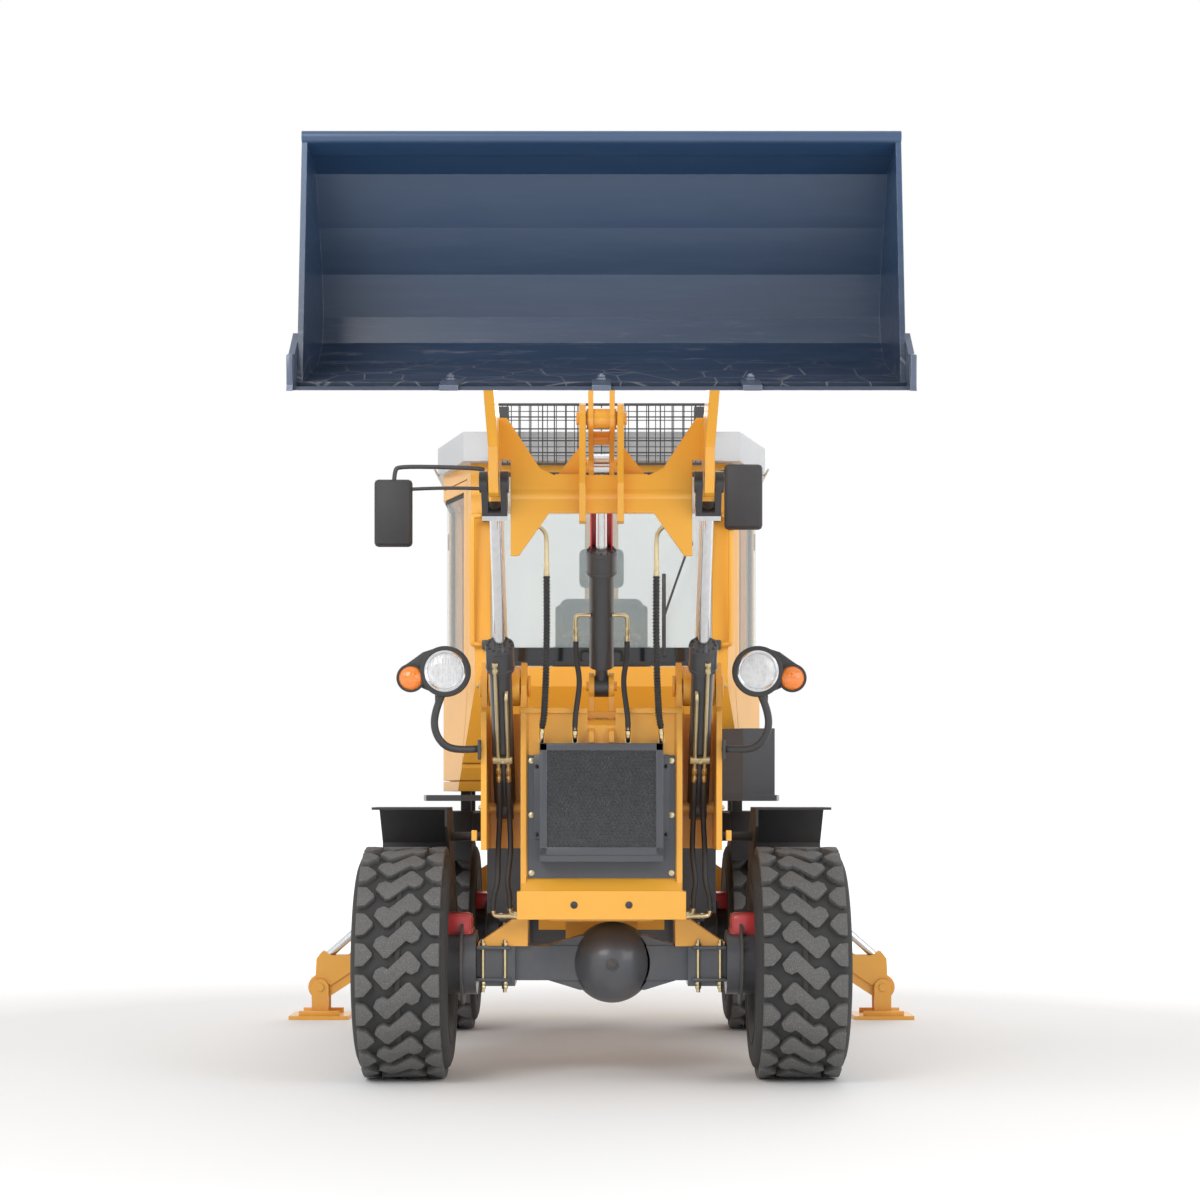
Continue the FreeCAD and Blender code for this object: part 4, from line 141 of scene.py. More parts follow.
def outlinePiece(name, points, thickness, place=lambda u, v, w: (u, v, w), edge=0.0):
    clearSelection()
    bpy.ops.mesh.primitive_circle_add(vertices=len(points), radius=1, fill_type="NGON")
    piece = bpy.context.object
    piece.name = name
    for vertex, (u, v) in zip(piece.data.vertices, points):
        vertex.co = (u, v, 0)
    bpy.ops.object.mode_set(mode="EDIT")
    bpy.ops.mesh.select_all(action="SELECT")
    bpy.ops.mesh.extrude_region_move(TRANSFORM_OT_translate={"value": (0, 0, thickness)})
    bpy.ops.mesh.select_all(action="SELECT")
    bpy.ops.mesh.normals_make_consistent(inside=False)
    bpy.ops.object.mode_set(mode="OBJECT")
    for vertex in piece.data.vertices:
        vertex.co = place(*vertex.co)
    fixNormals(piece)
    return bevelEdges(piece, edge) if edge else piece


def fixNormals(piece):
    pick(piece)
    bpy.ops.object.mode_set(mode="EDIT")
    bpy.ops.mesh.select_all(action="SELECT")
    bpy.ops.mesh.remove_doubles(threshold=0.00001)
    bpy.ops.mesh.normals_make_consistent(inside=False)
    bpy.ops.object.mode_set(mode="OBJECT")


def spunPiece(name, profile, centre, steps=64):
    clearSelection()
    bpy.ops.mesh.primitive_circle_add(vertices=len(profile), radius=1, fill_type="NOTHING")
    piece = bpy.context.object
    piece.name = name
    for vertex, (x, radius) in zip(piece.data.vertices, profile):
        vertex.co = (x, 0, radius)
    bpy.ops.object.mode_set(mode="EDIT")
    bpy.ops.mesh.select_all(action="SELECT")
    bpy.ops.mesh.spin(steps=steps, angle=math.tau, center=(0, 0, 0), axis=(1, 0, 0))
    bpy.ops.object.mode_set(mode="OBJECT")
    fixNormals(piece)
    piece.location = centre
    settle(piece)
    bpy.ops.object.shade_smooth_by_angle(angle=math.radians(40))
    return piece


def joinPieces(name, parts):
    pick(parts[0])
    for part in parts:
        part.select_set(True)
    bpy.context.view_layer.objects.active = parts[0]
    bpy.ops.object.join()
    bpy.context.object.name = name
    return bpy.context.object


def copyPiece(piece, matrix, name):
    copy = piece.copy()
    copy.data = piece.data.copy()
    copy.name = name
    bpy.context.scene.collection.objects.link(copy)
    copy.data.transform(matrix)
    if matrix.determinant() < 0:
        fixNormals(copy)
    return copy


def mirrorPiece(piece, name):
    return copyPiece(piece, Matrix.Scale(-1, 4, (1, 0, 0)), name)


def finishPiece(piece, body, material, replaced=()):
    piece.data.materials.clear()
    piece.data.materials.append(material)
    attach(piece, body)
    if replaced:
        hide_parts(*replaced)
    return piece


def near(x, y, z):     # a place measured from the front axle's line, in metres
    return Vector((x, y + axleY, z))


def boltSet(name, spots, direction, size, body, material):
    head = rodPiece(name, (0, 0, size * 0.3), (0, 0, size), size, 6, size * 0.12)
    washer = rodPiece("washer", (0, 0, -size * 0.15), (0, 0, size * 0.32), size * 1.3, 18, size * 0.06)
    shank = rodPiece("shank", (0, 0, size * 0.9), (0, 0, size * 1.35), size * 0.55, 10, size * 0.08)
    model = joinPieces(name, [head, washer, shank])
    turn = Vector(direction).to_track_quat("Z", "Y").to_matrix().to_4x4()
    copies = [copyPiece(model, Matrix.Translation(Vector(spot)) @ turn, name) for spot in spots]
    bpy.data.objects.remove(model)
    piece = joinPieces(name, copies) if len(copies) > 1 else copies[0]
    piece.name = name
    return finishPiece(piece, body, material)


# ---- node groups shared by the materials

def makeGroup(name, inputs, outputs):
    group = bpy.data.node_groups.new(name, "ShaderNodeTree")
    for label, kind, value in inputs:
        socket = group.interface.new_socket(name=label, in_out="INPUT", socket_type=kind)
        socket.default_value = value
    for label, kind in outputs:
        group.interface.new_socket(name=label, in_out="OUTPUT", socket_type=kind)
    return group, group.nodes.new("NodeGroupInput"), group.nodes.new("NodeGroupOutput")


def calc(tree, operation, first, second=None, clamp=False):
    node = tree.nodes.new("ShaderNodeMath")
    node.operation = operation
    node.use_clamp = clamp
    for place, value in ((0, first), (1, second)):
        if value is None:
            continue
        if isinstance(value, (int, float)):
            node.inputs[place].default_value = value
        else:
            tree.links.new(value, node.inputs[place])
    return node.outputs[0]


def noiseOf(tree, scale, detail=3.0, rough=0.55, vector=None, stretch=None):
    place = tree.nodes.new("ShaderNodeTexCoord")
    source = place.outputs["Object"] if vector is None else vector
    if stretch:
        mapping = tree.nodes.new("ShaderNodeMapping")
        mapping.inputs["Scale"].default_value = stretch
        tree.links.new(source, mapping.inputs["Vector"])
        source = mapping.outputs[0]
    noise = tree.nodes.new("ShaderNodeTexNoise")
    tree.links.new(source, noise.inputs["Vector"])
    if isinstance(scale, (int, float)):
        noise.inputs["Scale"].default_value = scale
    else:
        tree.links.new(scale, noise.inputs["Scale"])
    noise.inputs["Detail"].default_value = detail
    noise.inputs["Roughness"].default_value = rough
    return noise.outputs["Fac"]


def softEdgeGroup():
    group, inside, outside = makeGroup("softEdge", [("Radius", "NodeSocketFloat", 0.004)],
                                       [("Normal", "NodeSocketVector"), ("Wear", "NodeSocketFloat")])
    bevel = group.nodes.new("ShaderNodeBevel")
    bevel.samples = 4
    group.links.new(inside.outputs["Radius"], bevel.inputs["Radius"])
    geometry = group.nodes.new("ShaderNodeNewGeometry")
    dot = group.nodes.new("ShaderNodeVectorMath")
    dot.operation = "DOT_PRODUCT"
    group.links.new(bevel.outputs[0], dot.inputs[0])
    group.links.new(geometry.outputs["Normal"], dot.inputs[1])
    bent = calc(group, "SUBTRACT", 1.0, dot.outputs["Value"])
    patchy = noiseOf(group, 22.0, 5.0, 0.7)
    bright = calc(group, "MULTIPLY", calc(group, "SUBTRACT", patchy, 0.42, True), 5.0, True)
    wear = calc(group, "MULTIPLY", calc(group, "MULTIPLY", bent, 9.0, True), bright, True)
    group.links.new(bevel.outputs[0], outside.inputs["Normal"])
    group.links.new(wear, outside.inputs["Wear"])
    return group


def dustGroup():
    group, inside, outside = makeGroup("groundDust", [("Amount", "NodeSocketFloat", 0.3),
                                                      ("Height", "NodeSocketFloat", 1.2)],
                                       [("Mask", "NodeSocketFloat")])
    place = group.nodes.new("ShaderNodeTexCoord")
    split = group.nodes.new("ShaderNodeSeparateXYZ")
    group.links.new(place.outputs["Object"], split.inputs[0])
    low = calc(group, "SUBTRACT", 1.0, calc(group, "DIVIDE", split.outputs["Z"], inside.outputs["Height"], True), True)
    patches = calc(group, "MULTIPLY", calc(group, "SUBTRACT", noiseOf(group, 3.5, 6.0, 0.65), 0.35, True), 3.0, True)
    both = calc(group, "MULTIPLY", calc(group, "ADD", low, 0.15), patches)
    group.links.new(calc(group, "MULTIPLY", both, inside.outputs["Amount"], True), outside.inputs["Mask"])
    return group


softEdge = softEdgeGroup()
groundDust = dustGroup()


# ---- materials

def mixColour(tree, factor, first, second):
    node = tree.nodes.new("ShaderNodeMix")
    node.data_type = "RGBA"
    for place, value in ((0, factor), (6, first), (7, second)):
        if isinstance(value, (tuple, list)):
            node.inputs[place].default_value = (*value, 1)
        elif isinstance(value, (int, float)):
            node.inputs[place].default_value = value
        else:
            tree.links.new(value, node.inputs[place])
    return node.outputs[2]


def blankMaterial(name):
    material = bpy.data.materials.new(name)
    material.use_nodes = True
    tree = material.node_tree
    return material, tree, tree.nodes["Principled BSDF"]


def bumpInto(tree, shader, height, strength, distance, normal=None):
    bump = tree.nodes.new("ShaderNodeBump")
    bump.inputs["Strength"].default_value = strength
    bump.inputs["Distance"].default_value = distance
    tree.links.new(height, bump.inputs["Height"])
    if normal is not None:
        tree.links.new(normal, bump.inputs["Normal"])
    tree.links.new(bump.outputs[0], shader.inputs["Normal"])


def coated(name, colour, shade, rough=0.35, metal=0.0, coat=0.3, worn=(0.35, 0.35, 0.36), wear=0.3, dust=0.35,
           dustColour=(0.36, 0.31, 0.25), grain=180.0, bump=0.05, edge=0.004, drift=1.6):
    material, tree, shader = blankMaterial(name)
    tone = mixColour(tree, noiseOf(tree, drift, 3.0), colour, shade)
    rounded = tree.nodes.new("ShaderNodeGroup")
    rounded.node_tree = softEdge
    rounded.inputs["Radius"].default_value = edge
    tone = mixColour(tree, calc(tree, "MULTIPLY", rounded.outputs["Wear"], wear), tone, worn)
    ground = tree.nodes.new("ShaderNodeGroup")
    ground.node_tree = groundDust
    ground.inputs["Amount"].default_value = dust
    tone = mixColour(tree, ground.outputs["Mask"], tone, dustColour)
    tree.links.new(tone, shader.inputs["Base Color"])
    fine = noiseOf(tree, grain, 2.0)
    uneven = calc(tree, "ADD", rough - 0.05, calc(tree, "MULTIPLY", noiseOf(tree, 7.0, 4.0), 0.1))
    tree.links.new(calc(tree, "ADD", uneven, calc(tree, "MULTIPLY", ground.outputs["Mask"], 0.35), True),
                   shader.inputs["Roughness"])
    shader.inputs["Metallic"].default_value = metal
    shader.inputs["Coat Weight"].default_value = coat
    shader.inputs["Coat Roughness"].default_value = 0.12
    bumpInto(tree, shader, fine, bump, 0.002, rounded.outputs["Normal"])
    return material


def shovelPaintWithShade(name, wear):
    material, tree, shader = blankMaterial(name)
    place = tree.nodes.new("ShaderNodeTexCoord")
    split = tree.nodes.new("ShaderNodeSeparateXYZ")
    tree.links.new(place.outputs["Object"], split.inputs[0])
    low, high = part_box("loader_bucket")
    rise = calc(tree, "DIVIDE", calc(tree, "SUBTRACT", split.outputs["Z"], low.z), high.z - low.z, True)
    # painted shade: the shovel's base colour runs from dark navy at its bottom to lighter blue at its top, by height
    # alone
    tone = mixColour(tree, rise, (0.016, 0.026, 0.050), (0.022, 0.058, 0.130))
    streaks = noiseOf(tree, 9.0, 5.0, 0.7, stretch=(0.25, 1.0, 3.5))
    tone = mixColour(tree, calc(tree, "MULTIPLY", calc(tree, "SUBTRACT", streaks, 0.45, True), 0.9, True), tone,
                     (0.055, 0.09, 0.14))
    scraped = noiseOf(tree, 30.0, 6.0, 0.75, stretch=(0.12, 1.0, 1.0))
    band = calc(tree, "MULTIPLY", calc(tree, "SUBTRACT", 0.42, rise, True), 5.0, True)
    marks = calc(tree, "MULTIPLY", calc(tree, "SUBTRACT", scraped, 0.56, True), 7.0, True)
    marks = calc(tree, "MULTIPLY", marks, band)
    tone = mixColour(tree, calc(tree, "MULTIPLY", marks, wear), tone, (0.14, 0.13, 0.17))
    crack = tree.nodes.new("ShaderNodeTexVoronoi")
    crack.feature = "DISTANCE_TO_EDGE"
    crack.inputs["Scale"].default_value = 5.5
    tree.links.new(place.outputs["Object"], crack.inputs["Vector"])
    lines = calc(tree, "MULTIPLY", calc(tree, "SUBTRACT", 0.02, crack.outputs["Distance"], True), 60.0, True)
    floorOnly = calc(tree, "MULTIPLY", calc(tree, "SUBTRACT", 0.2, rise, True), 12.0, True)
    lines = calc(tree, "MULTIPLY", calc(tree, "MULTIPLY", lines, floorOnly), wear * 0.6)
    tone = mixColour(tree, lines, tone, (0.32, 0.30, 0.30))
    rounded = tree.nodes.new("ShaderNodeGroup")
    rounded.node_tree = softEdge
    rounded.inputs["Radius"].default_value = 0.005
    tone = mixColour(tree, calc(tree, "MULTIPLY", rounded.outputs["Wear"], 0.6), tone, (0.20, 0.25, 0.32))
    tree.links.new(tone, shader.inputs["Base Color"])
    shine = calc(tree, "ADD", 0.30, calc(tree, "MULTIPLY", streaks, 0.22))
    tree.links.new(calc(tree, "ADD", shine, calc(tree, "MULTIPLY", marks, 0.2), True), shader.inputs["Roughness"])
    shader.inputs["Coat Weight"].default_value = 0.35
    shader.inputs["Coat Roughness"].default_value = 0.2
    bumpInto(tree, shader, scraped, 0.06, 0.002, rounded.outputs["Normal"])
    return material


def tyreRubber():
    material, tree, shader = blankMaterial("tyreRubber")
    speckle = noiseOf(tree, 260.0, 2.0, 0.8)
    tone = mixColour(tree, noiseOf(tree, 6.0, 5.0), (0.028, 0.028, 0.030), (0.058, 0.056, 0.055))
    top = tree.nodes.new("ShaderNodeAttribute")
    top.attribute_name = "lugTop"
    grit = calc(tree, "MULTIPLY", calc(tree, "SUBTRACT", speckle, 0.5, True), 5.0, True)
    tone = mixColour(tree, calc(tree, "MULTIPLY", top.outputs["Fac"], 0.55), tone, (0.15, 0.148, 0.145))
    tone = mixColour(tree, calc(tree, "MULTIPLY", calc(tree, "MULTIPLY", grit, top.outputs["Fac"]), 0.55), tone,
                     (0.34, 0.33, 0.32))
    tree.links.new(tone, shader.inputs["Base Color"])
    shader.inputs["Roughness"].default_value = 0.78
    bumpInto(tree, shader, speckle, 0.3, 0.003)
    return material


def clearGlass(name, colour, alpha):
    material, tree, shader = blankMaterial(name)
    film = noiseOf(tree, 2.5, 4.0)
    tree.links.new(mixColour(tree, film, colour, tuple(c * 0.9 for c in colour)), shader.inputs["Base Color"])
    tree.links.new(calc(tree, "ADD", 0.02, calc(tree, "MULTIPLY", film, 0.06)), shader.inputs["Roughness"])
    shader.inputs["Alpha"].default_value = alpha
    shader.inputs["IOR"].default_value = 1.5
    shader.inputs["Coat Weight"].default_value = 0.6
    return material


def brightMetal(name, colour, rough, streak=1.0):
    material, tree, shader = blankMaterial(name)
    lines = noiseOf(tree, 60.0, 3.0, 0.6, stretch=(1.0, 1.0, 0.05 if streak else 1.0))
    tree.links.new(mixColour(tree, lines, colour, tuple(c * 0.72 for c in colour)), shader.inputs["Base Color"])
    tree.links.new(calc(tree, "ADD", rough, calc(tree, "MULTIPLY", lines, 0.12)), shader.inputs["Roughness"])
    shader.inputs["Metallic"].default_value = 1.0
    bumpInto(tree, shader, lines, 0.03, 0.0006)
    return material


forkedRod = {"start": (0.0, -0.050, 1.262), "lean": (0.0, -0.6292, 0.7773), "forkFrom": 1.615}


def rodWithFork(name, colour, rough):
    material = brightMetal(name, colour, rough)
    tree = material.node_tree
    shader = next(node for node in tree.nodes if node.type == "BSDF_PRINCIPLED")
    place = tree.nodes.new("ShaderNodeTexCoord")
    shift = tree.nodes.new("ShaderNodeVectorMath")
    shift.operation = "SUBTRACT"
    tree.links.new(place.outputs["Object"], shift.inputs[0])
    shift.inputs[1].default_value = near(*forkedRod["start"])
    run = tree.nodes.new("ShaderNodeVectorMath")
    run.operation = "DOT_PRODUCT"
    tree.links.new(shift.outputs[0], run.inputs[0])
    run.inputs[1].default_value = forkedRod["lean"]
    painted = calc(tree, "GREATER_THAN", run.outputs["Value"], forkedRod["forkFrom"])
    bare = shader.inputs["Base Color"].links[0].from_socket
    tree.links.new(mixColour(tree, painted, bare, (0.035, 0.036, 0.040)), shader.inputs["Base Color"])
    tree.links.new(calc(tree, "SUBTRACT", 1.0, painted), shader.inputs["Metallic"])
    polish = shader.inputs["Roughness"].links[0].from_socket
    tree.links.new(calc(tree, "ADD", polish, calc(tree, "MULTIPLY", painted, 0.22)), shader.inputs["Roughness"])
    return material


def ribbedLens(name, colour, alpha, scale, glow=0.0):
    material, tree, shader = blankMaterial(name)
    wave = tree.nodes.new("ShaderNodeTexWave")
    place = tree.nodes.new("ShaderNodeTexCoord")
    tree.links.new(place.outputs["Object"], wave.inputs["Vector"])
    wave.bands_direction = "X"
    wave.inputs["Scale"].default_value = scale
    cells = tree.nodes.new("ShaderNodeTexVoronoi")
    cells.inputs["Scale"].default_value = scale * 2.2
    tree.links.new(place.outputs["Object"], cells.inputs["Vector"])
    tone = mixColour(tree, cells.outputs["Distance"], colour, tuple(min(1.0, c * 1.35) for c in colour))
    tree.links.new(tone, shader.inputs["Base Color"])
    tree.links.new(calc(tree, "ADD", 0.06, calc(tree, "MULTIPLY", cells.outputs["Distance"], 0.1)),
                   shader.inputs["Roughness"])
    shader.inputs["Alpha"].default_value = alpha
    shader.inputs["Coat Weight"].default_value = 1.0
    bumpInto(tree, shader, wave.outputs["Fac"], 0.35, 0.004)
    return material


def wovenCloth(name, colour, shade):
    material, tree, shader = blankMaterial(name)
    weave = noiseOf(tree, 420.0, 2.0, 0.6, stretch=(1.0, 0.35, 1.0))
    patch = noiseOf(tree, 3.0, 4.0)
    tree.links.new(mixColour(tree, calc(tree, "MULTIPLY", calc(tree, "ADD", weave, patch), 0.5), colour, shade),
                   shader.inputs["Base Color"])
    shader.inputs["Roughness"].default_value = 0.9
    shader.inputs["Sheen Weight"].default_value = 0.25
    bumpInto(tree, shader, weave, 0.35, 0.002)
    return material


finishes = {
    "yellow": coated("yellowEnamel", (0.86, 0.40, 0.036), (0.92, 0.455, 0.05), rough=0.34, coat=0.35,
                     worn=(0.55, 0.33, 0.12), wear=0.35, dust=0.10, edge=0.005, grain=140.0, bump=0.035),
    "shovel": shovelPaintWithShade("shovelEnamelWithShade", 0.75),
    "digger": coated("diggerEnamel", (0.025, 0.045, 0.072), (0.04, 0.068, 0.10), rough=0.42, worn=(0.3, 0.31, 0.33),
                     wear=0.7, dust=0.35),
    "edgeSteel": coated("edgeSteel", (0.075, 0.10, 0.15), (0.12, 0.145, 0.20), rough=0.38, metal=0.4, coat=0.1,
                        worn=(0.42, 0.43, 0.46), wear=0.8, dust=0.2),
    "barrel": coated("barrelBlack", (0.030, 0.030, 0.034), (0.050, 0.050, 0.056), rough=0.38, worn=(0.25, 0.25, 0.26),
                     wear=0.45, dust=0.15),
    "rod": brightMetal("rodChrome", (0.80, 0.81, 0.83), 0.10),
    "forkedRod": rodWithFork("forkedRodChrome", (0.80, 0.81, 0.83), 0.10),
    "axle": coated("axleEnamel", (0.045, 0.052, 0.068), (0.068, 0.075, 0.092), rough=0.36, coat=0.25,
                   worn=(0.22, 0.22, 0.24), wear=0.35, dust=0.18, grain=90.0, bump=0.09),
    "red": coated("caliperRed", (0.62, 0.028, 0.04), (0.72, 0.05, 0.055), rough=0.33, worn=(0.4, 0.2, 0.18), dust=0.12),
    "black": coated("frameBlack", (0.024, 0.024, 0.027), (0.042, 0.042, 0.046), rough=0.45, coat=0.1,
                    worn=(0.20, 0.20, 0.21), wear=0.4, dust=0.3),
    "plastic": coated("grainedPlastic", (0.018, 0.018, 0.020), (0.030, 0.030, 0.033), rough=0.55, coat=0.0,
                      worn=(0.10, 0.10, 0.10), wear=0.3, dust=0.25, grain=260.0, bump=0.16),
    "slate": coated("slateEnamel", (0.045, 0.050, 0.062), (0.068, 0.074, 0.088), rough=0.4, coat=0.2, dust=0.15),
    "roof": coated("roofPlastic", (0.50, 0.51, 0.52), (0.60, 0.61, 0.62), rough=0.45, coat=0.1, worn=(0.6, 0.6, 0.6),
                   dust=0.1),
    "iron": coated("engineIron", (0.05, 0.052, 0.056), (0.085, 0.085, 0.09), rough=0.55, coat=0.0, dust=0.3,
                   grain=60.0, bump=0.2),
    "rubber": coated("hoseRubber", (0.016, 0.016, 0.017), (0.030, 0.030, 0.031), rough=0.6, coat=0.0, wear=0.1,
                     dust=0.15, grain=500.0, bump=0.25),
    "zinc": brightMetal("zincYellow", (0.72, 0.60, 0.36), 0.26, 0.0),
    "green": coated("clampGreen", (0.12, 0.28, 0.22), (0.16, 0.34, 0.27), rough=0.5, coat=0.0, dust=0.1),
    "tyre": tyreRubber(),
    "glass": clearGlass("cabGlass", (0.72, 0.86, 0.88), 0.22),
    "dark": clearGlass("tintBand", (0.01, 0.012, 0.016), 0.93),
    "lens": ribbedLens("lampLens", (0.78, 0.80, 0.82), 0.55, 26.0),
    "mirror": brightMetal("mirrorSilver", (0.86, 0.88, 0.90), 0.03, 0.0),
    "orange": ribbedLens("turnLens", (0.90, 0.20, 0.012), 0.97, 40.0),
    "cloth": wovenCloth("seatCloth", (0.016, 0.017, 0.020), (0.040, 0.042, 0.048)),
}
slotFinish = {
    "yellow_paint": "yellow", "bucket_blue": "shovel", "worn_steel": "edgeSteel", "cylinder_black": "barrel",
    "rod_chrome": "rod", "axle_grey": "axle", "caliper_red": "red", "frame_black": "black", "tyre_rubber": "tyre",
    "cab_glass": "glass", "black_plastic": "plastic", "roof_grey": "roof", "seat_cloth": "cloth", "lamp_lens": "lens",
    "engine_iron": "iron",
}
nodeFinish = {"digging_bucket": "digger", "lift_rods": "forkedRod", "front_frame": "yellow", "cooler": "slate", "rear_frame": "yellow",
              "side_steps": "slate", "stabiliser_foot_left": "yellow", "stabiliser_foot_right": "yellow"}
for part in frame["record"]["subparts"]:
    name = part["node"]
    chosen = finishes[nodeFinish.get(name, slotFinish[part["material_slot"]])]
    nodes[name].data.materials.clear()
    nodes[name].data.materials.append(chosen)
print("stage: materials on the CAD nodes")


# ---- tyres and wheels

tyre = {"radius": 0.5385, "root": 0.492, "pitches": 24, "side": [
    (-0.212, 0.430), (-0.211, 0.400), (-0.214, 0.365), (-0.205, 0.300), (-0.176, 0.258), (-0.160, 0.250)],
    "crown": [(-0.1865, 0.498), (-0.150, 0.506), (0.0, 0.510)]}
middleLug = [(-0.060, 0.086), (-0.043, 0.086), (0.040, 0.006), (0.065, 0.019), (0.095, 0.003), (0.107, -0.031),
             (0.060, -0.086), (0.043, -0.086), (-0.040, -0.006), (-0.065, -0.019), (-0.095, -0.003), (-0.107, 0.031)]
outerLug = [(0.109, -0.004), (0.150, -0.050), (0.187, -0.053), (0.187, 0.053), (0.147, 0.050), (0.113, 0.012)]


def lugPiece(name, points, low, high):
    wrap = tyre["radius"]
    piece = outlinePiece(name, points, high - low, lambda u, v, w: (
        u, (low + w) * math.sin(v / wrap), (low + w) * math.cos(v / wrap)))
    mask = piece.data.attributes.new("lugTop", "FLOAT", "POINT")
    bevelEdges(piece, 0.004, 2, 30)
    mask = piece.data.attributes["lugTop"]
    for place, vertex in zip(mask.data, piece.data.vertices):
        place.value = 1.0 if math.hypot(vertex.co.y, vertex.co.z) > high - 0.006 else 0.0
    return piece


def tyreModel():
    rise = [(-0.2135, 0.462), (-0.204, 0.486)]
    half = tyre["side"][::-1] + rise + tyre["crown"]
    profile = half + [(-x, r) for x, r in half[-2::-1]]
    carcass = spunPiece("tyreModel", profile, (0, 0, 0), 72)
    rings = [spunPiece("rib", [(x * side, r) for x, r in ((0.208, 0.372), (0.2165, 0.376), (0.2165, 0.384),
                                                         (0.208, 0.388))], (0, 0, 0), 72) for side in (-1, 1)]
    lugs = []
    middle = lugPiece("lug", middleLug, tyre["root"], tyre["radius"] - 0.001)
    outer = lugPiece("lug", outerLug, tyre["root"] - 0.03, tyre["radius"])
    other = copyPiece(outer, Matrix.Rotation(math.pi, 4, "Z"), "lug")
    tie = boxPiece("tie", (-0.012, -0.07, 0.50), (0.012, 0.07, 0.518), 0.003)
    pitch = math.tau / tyre["pitches"]
    for step in range(tyre["pitches"]):
        for model, shift in ((middle, 0.0), (outer, 0.5), (other, 0.5), (tie, 0.5)):
            lugs.append(copyPiece(model, Matrix.Rotation(pitch * (step + shift), 4, "X"), "lug"))
    for model in (middle, outer, other, tie):
        bpy.data.objects.remove(model)
    return joinPieces("tyreModel", [carcass, *rings, *lugs])


rim = {"dish": [(0.060, 0.0), (0.060, 0.075), (0.052, 0.092), (0.052, 0.165), (0.085, 0.205), (0.130, 0.226),
                (0.168, 0.232), (0.176, 0.252), (0.168, 0.253), (0.158, 0.240)], "nutRing": 0.118, "nuts": 8}


def makeWheels():
    model = tyreModel()
    for end in ("front", "rear"):
        for side in ("left", "right"):
            label = end + "_" + side
            low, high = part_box(label + "_tyre")
            place = Matrix.Translation((low + high) / 2)
            sign = -1 if side == "left" else 1
            fitted = copyPiece(model, place @ Matrix.Scale(sign, 4, (1, 0, 0)), label + "Tread")
            finishPiece(fitted, label + "_wheel", finishes["tyre"], (label + "_tyre",))
            dish = spunPiece(label + "Dish", [(x * sign, r) for x, r in rim["dish"]], (low + high) / 2, 48)
            finishPiece(dish, label + "_wheel", finishes["yellow"])
            centre = (low + high) / 2
            spots = [centre + Vector((sign * 0.052, rim["nutRing"] * math.cos(math.tau * k / rim["nuts"]),
                                      rim["nutRing"] * math.sin(math.tau * k / rim["nuts"])))
                     for k in range(rim["nuts"])]
            boltSet(label + "Nuts", spots, (sign, 0, 0), 0.014, label + "_wheel", finishes["zinc"])
    bpy.data.objects.remove(model)


makeWheels()
print("stage: tyres and wheels")


# ---- cooler and front plate

cooler = {"meshLow": 1.086, "meshHigh": 1.519, "meshHalf": 0.244, "cell": 0.0190, "wire": 0.0042, "face": -0.4045,
          "rim": 0.034, "case": (-0.414, -0.306), "half": 0.278, "low": 1.020, "high": 1.553}


def coolerMesh():
    clearSelection()
    cell = cooler["cell"]
    bpy.ops.mesh.primitive_circle_add(vertices=6, radius=cell / math.sqrt(3), fill_type="NGON")
    piece = bpy.context.object
    piece.name = "coolerMesh"
    columns = int(2 * cooler["meshHalf"] / cell) + 1
    rowStep = cell * math.sqrt(3) / 2
    rows = int((cooler["meshHigh"] - cooler["meshLow"]) / rowStep / 2) + 1
    for offset, count in (((cell, 0, 0), columns), ((0, rowStep * 2, 0), rows)):
        array = piece.modifiers.new("array", "ARRAY")
        array.use_relative_offset = False
        array.use_constant_offset = True
        array.constant_offset_displace = offset
        array.count = count
        bpy.ops.object.modifier_apply(modifier=array.name)
    shifted = copyPiece(piece, Matrix.Translation((cell / 2, rowStep, 0)), "coolerMesh")
    piece = joinPieces("coolerMesh", [piece, shifted])
    fixNormals(piece)
    wire = piece.modifiers.new("wire", "WIREFRAME")
    wire.thickness = cooler["wire"]
    wire.use_even_offset = False
    bpy.ops.object.modifier_apply(modifier=wire.name)
    low = near(-cooler["meshHalf"], cooler["face"], cooler["meshLow"])
    piece.data.transform(Matrix.Translation(low) @ Matrix.Rotation(math.pi / 2, 4, "X"))
    return finishPiece(piece, "front", finishes["slate"])


def coolerCase():
    half, rimWidth = cooler["half"], cooler["rim"]
    front, back = cooler["case"]
    low, high = cooler["low"], cooler["high"]
    bars = [
        boxPiece("bar", near(-half, front, high - rimWidth), near(half, back, high), 0.003),
        boxPiece("bar", near(-half, front, low + 0.028), near(half, front + 0.016, low + 0.066), 0.003),
        boxPiece("bar", near(-half, front, low + 0.03), near(-half + rimWidth, back, high), 0.003),
        boxPiece("bar", near(half - rimWidth, front, low + 0.03), near(half, back, high), 0.003),
        boxPiece("bar", near(-half, front + 0.03, low), near(half, back, low + 0.03), 0.003),
        boxPiece("bar", near(-half - 0.03, back - 0.012, low + 0.1), near(half + 0.03, back, high - 0.05), 0.003),
    ]
    finishPiece(joinPieces("coolerCase", bars), "front", finishes["slate"])
    core = boxPiece("coolerCore", near(-half + 0.03, -0.4008, low + 0.06), near(half - 0.03, -0.3985, high - 0.03), 0)
    finishPiece(core, "front", finishes["dark"])
    boltSet("coolerBolts", [near(x, -0.308, z) for x in (-0.318, 0.318) for z in (0.966, 1.229, 1.476)], (0, -1, 0),
            0.010, "front", finishes["zinc"])
    boltSet("caseBolts", [near(x, -0.322, z) for x in (-0.296, 0.296) for z in (1.14, 1.45)], (0, -1, 0), 0.007,
            "front", finishes["black"])


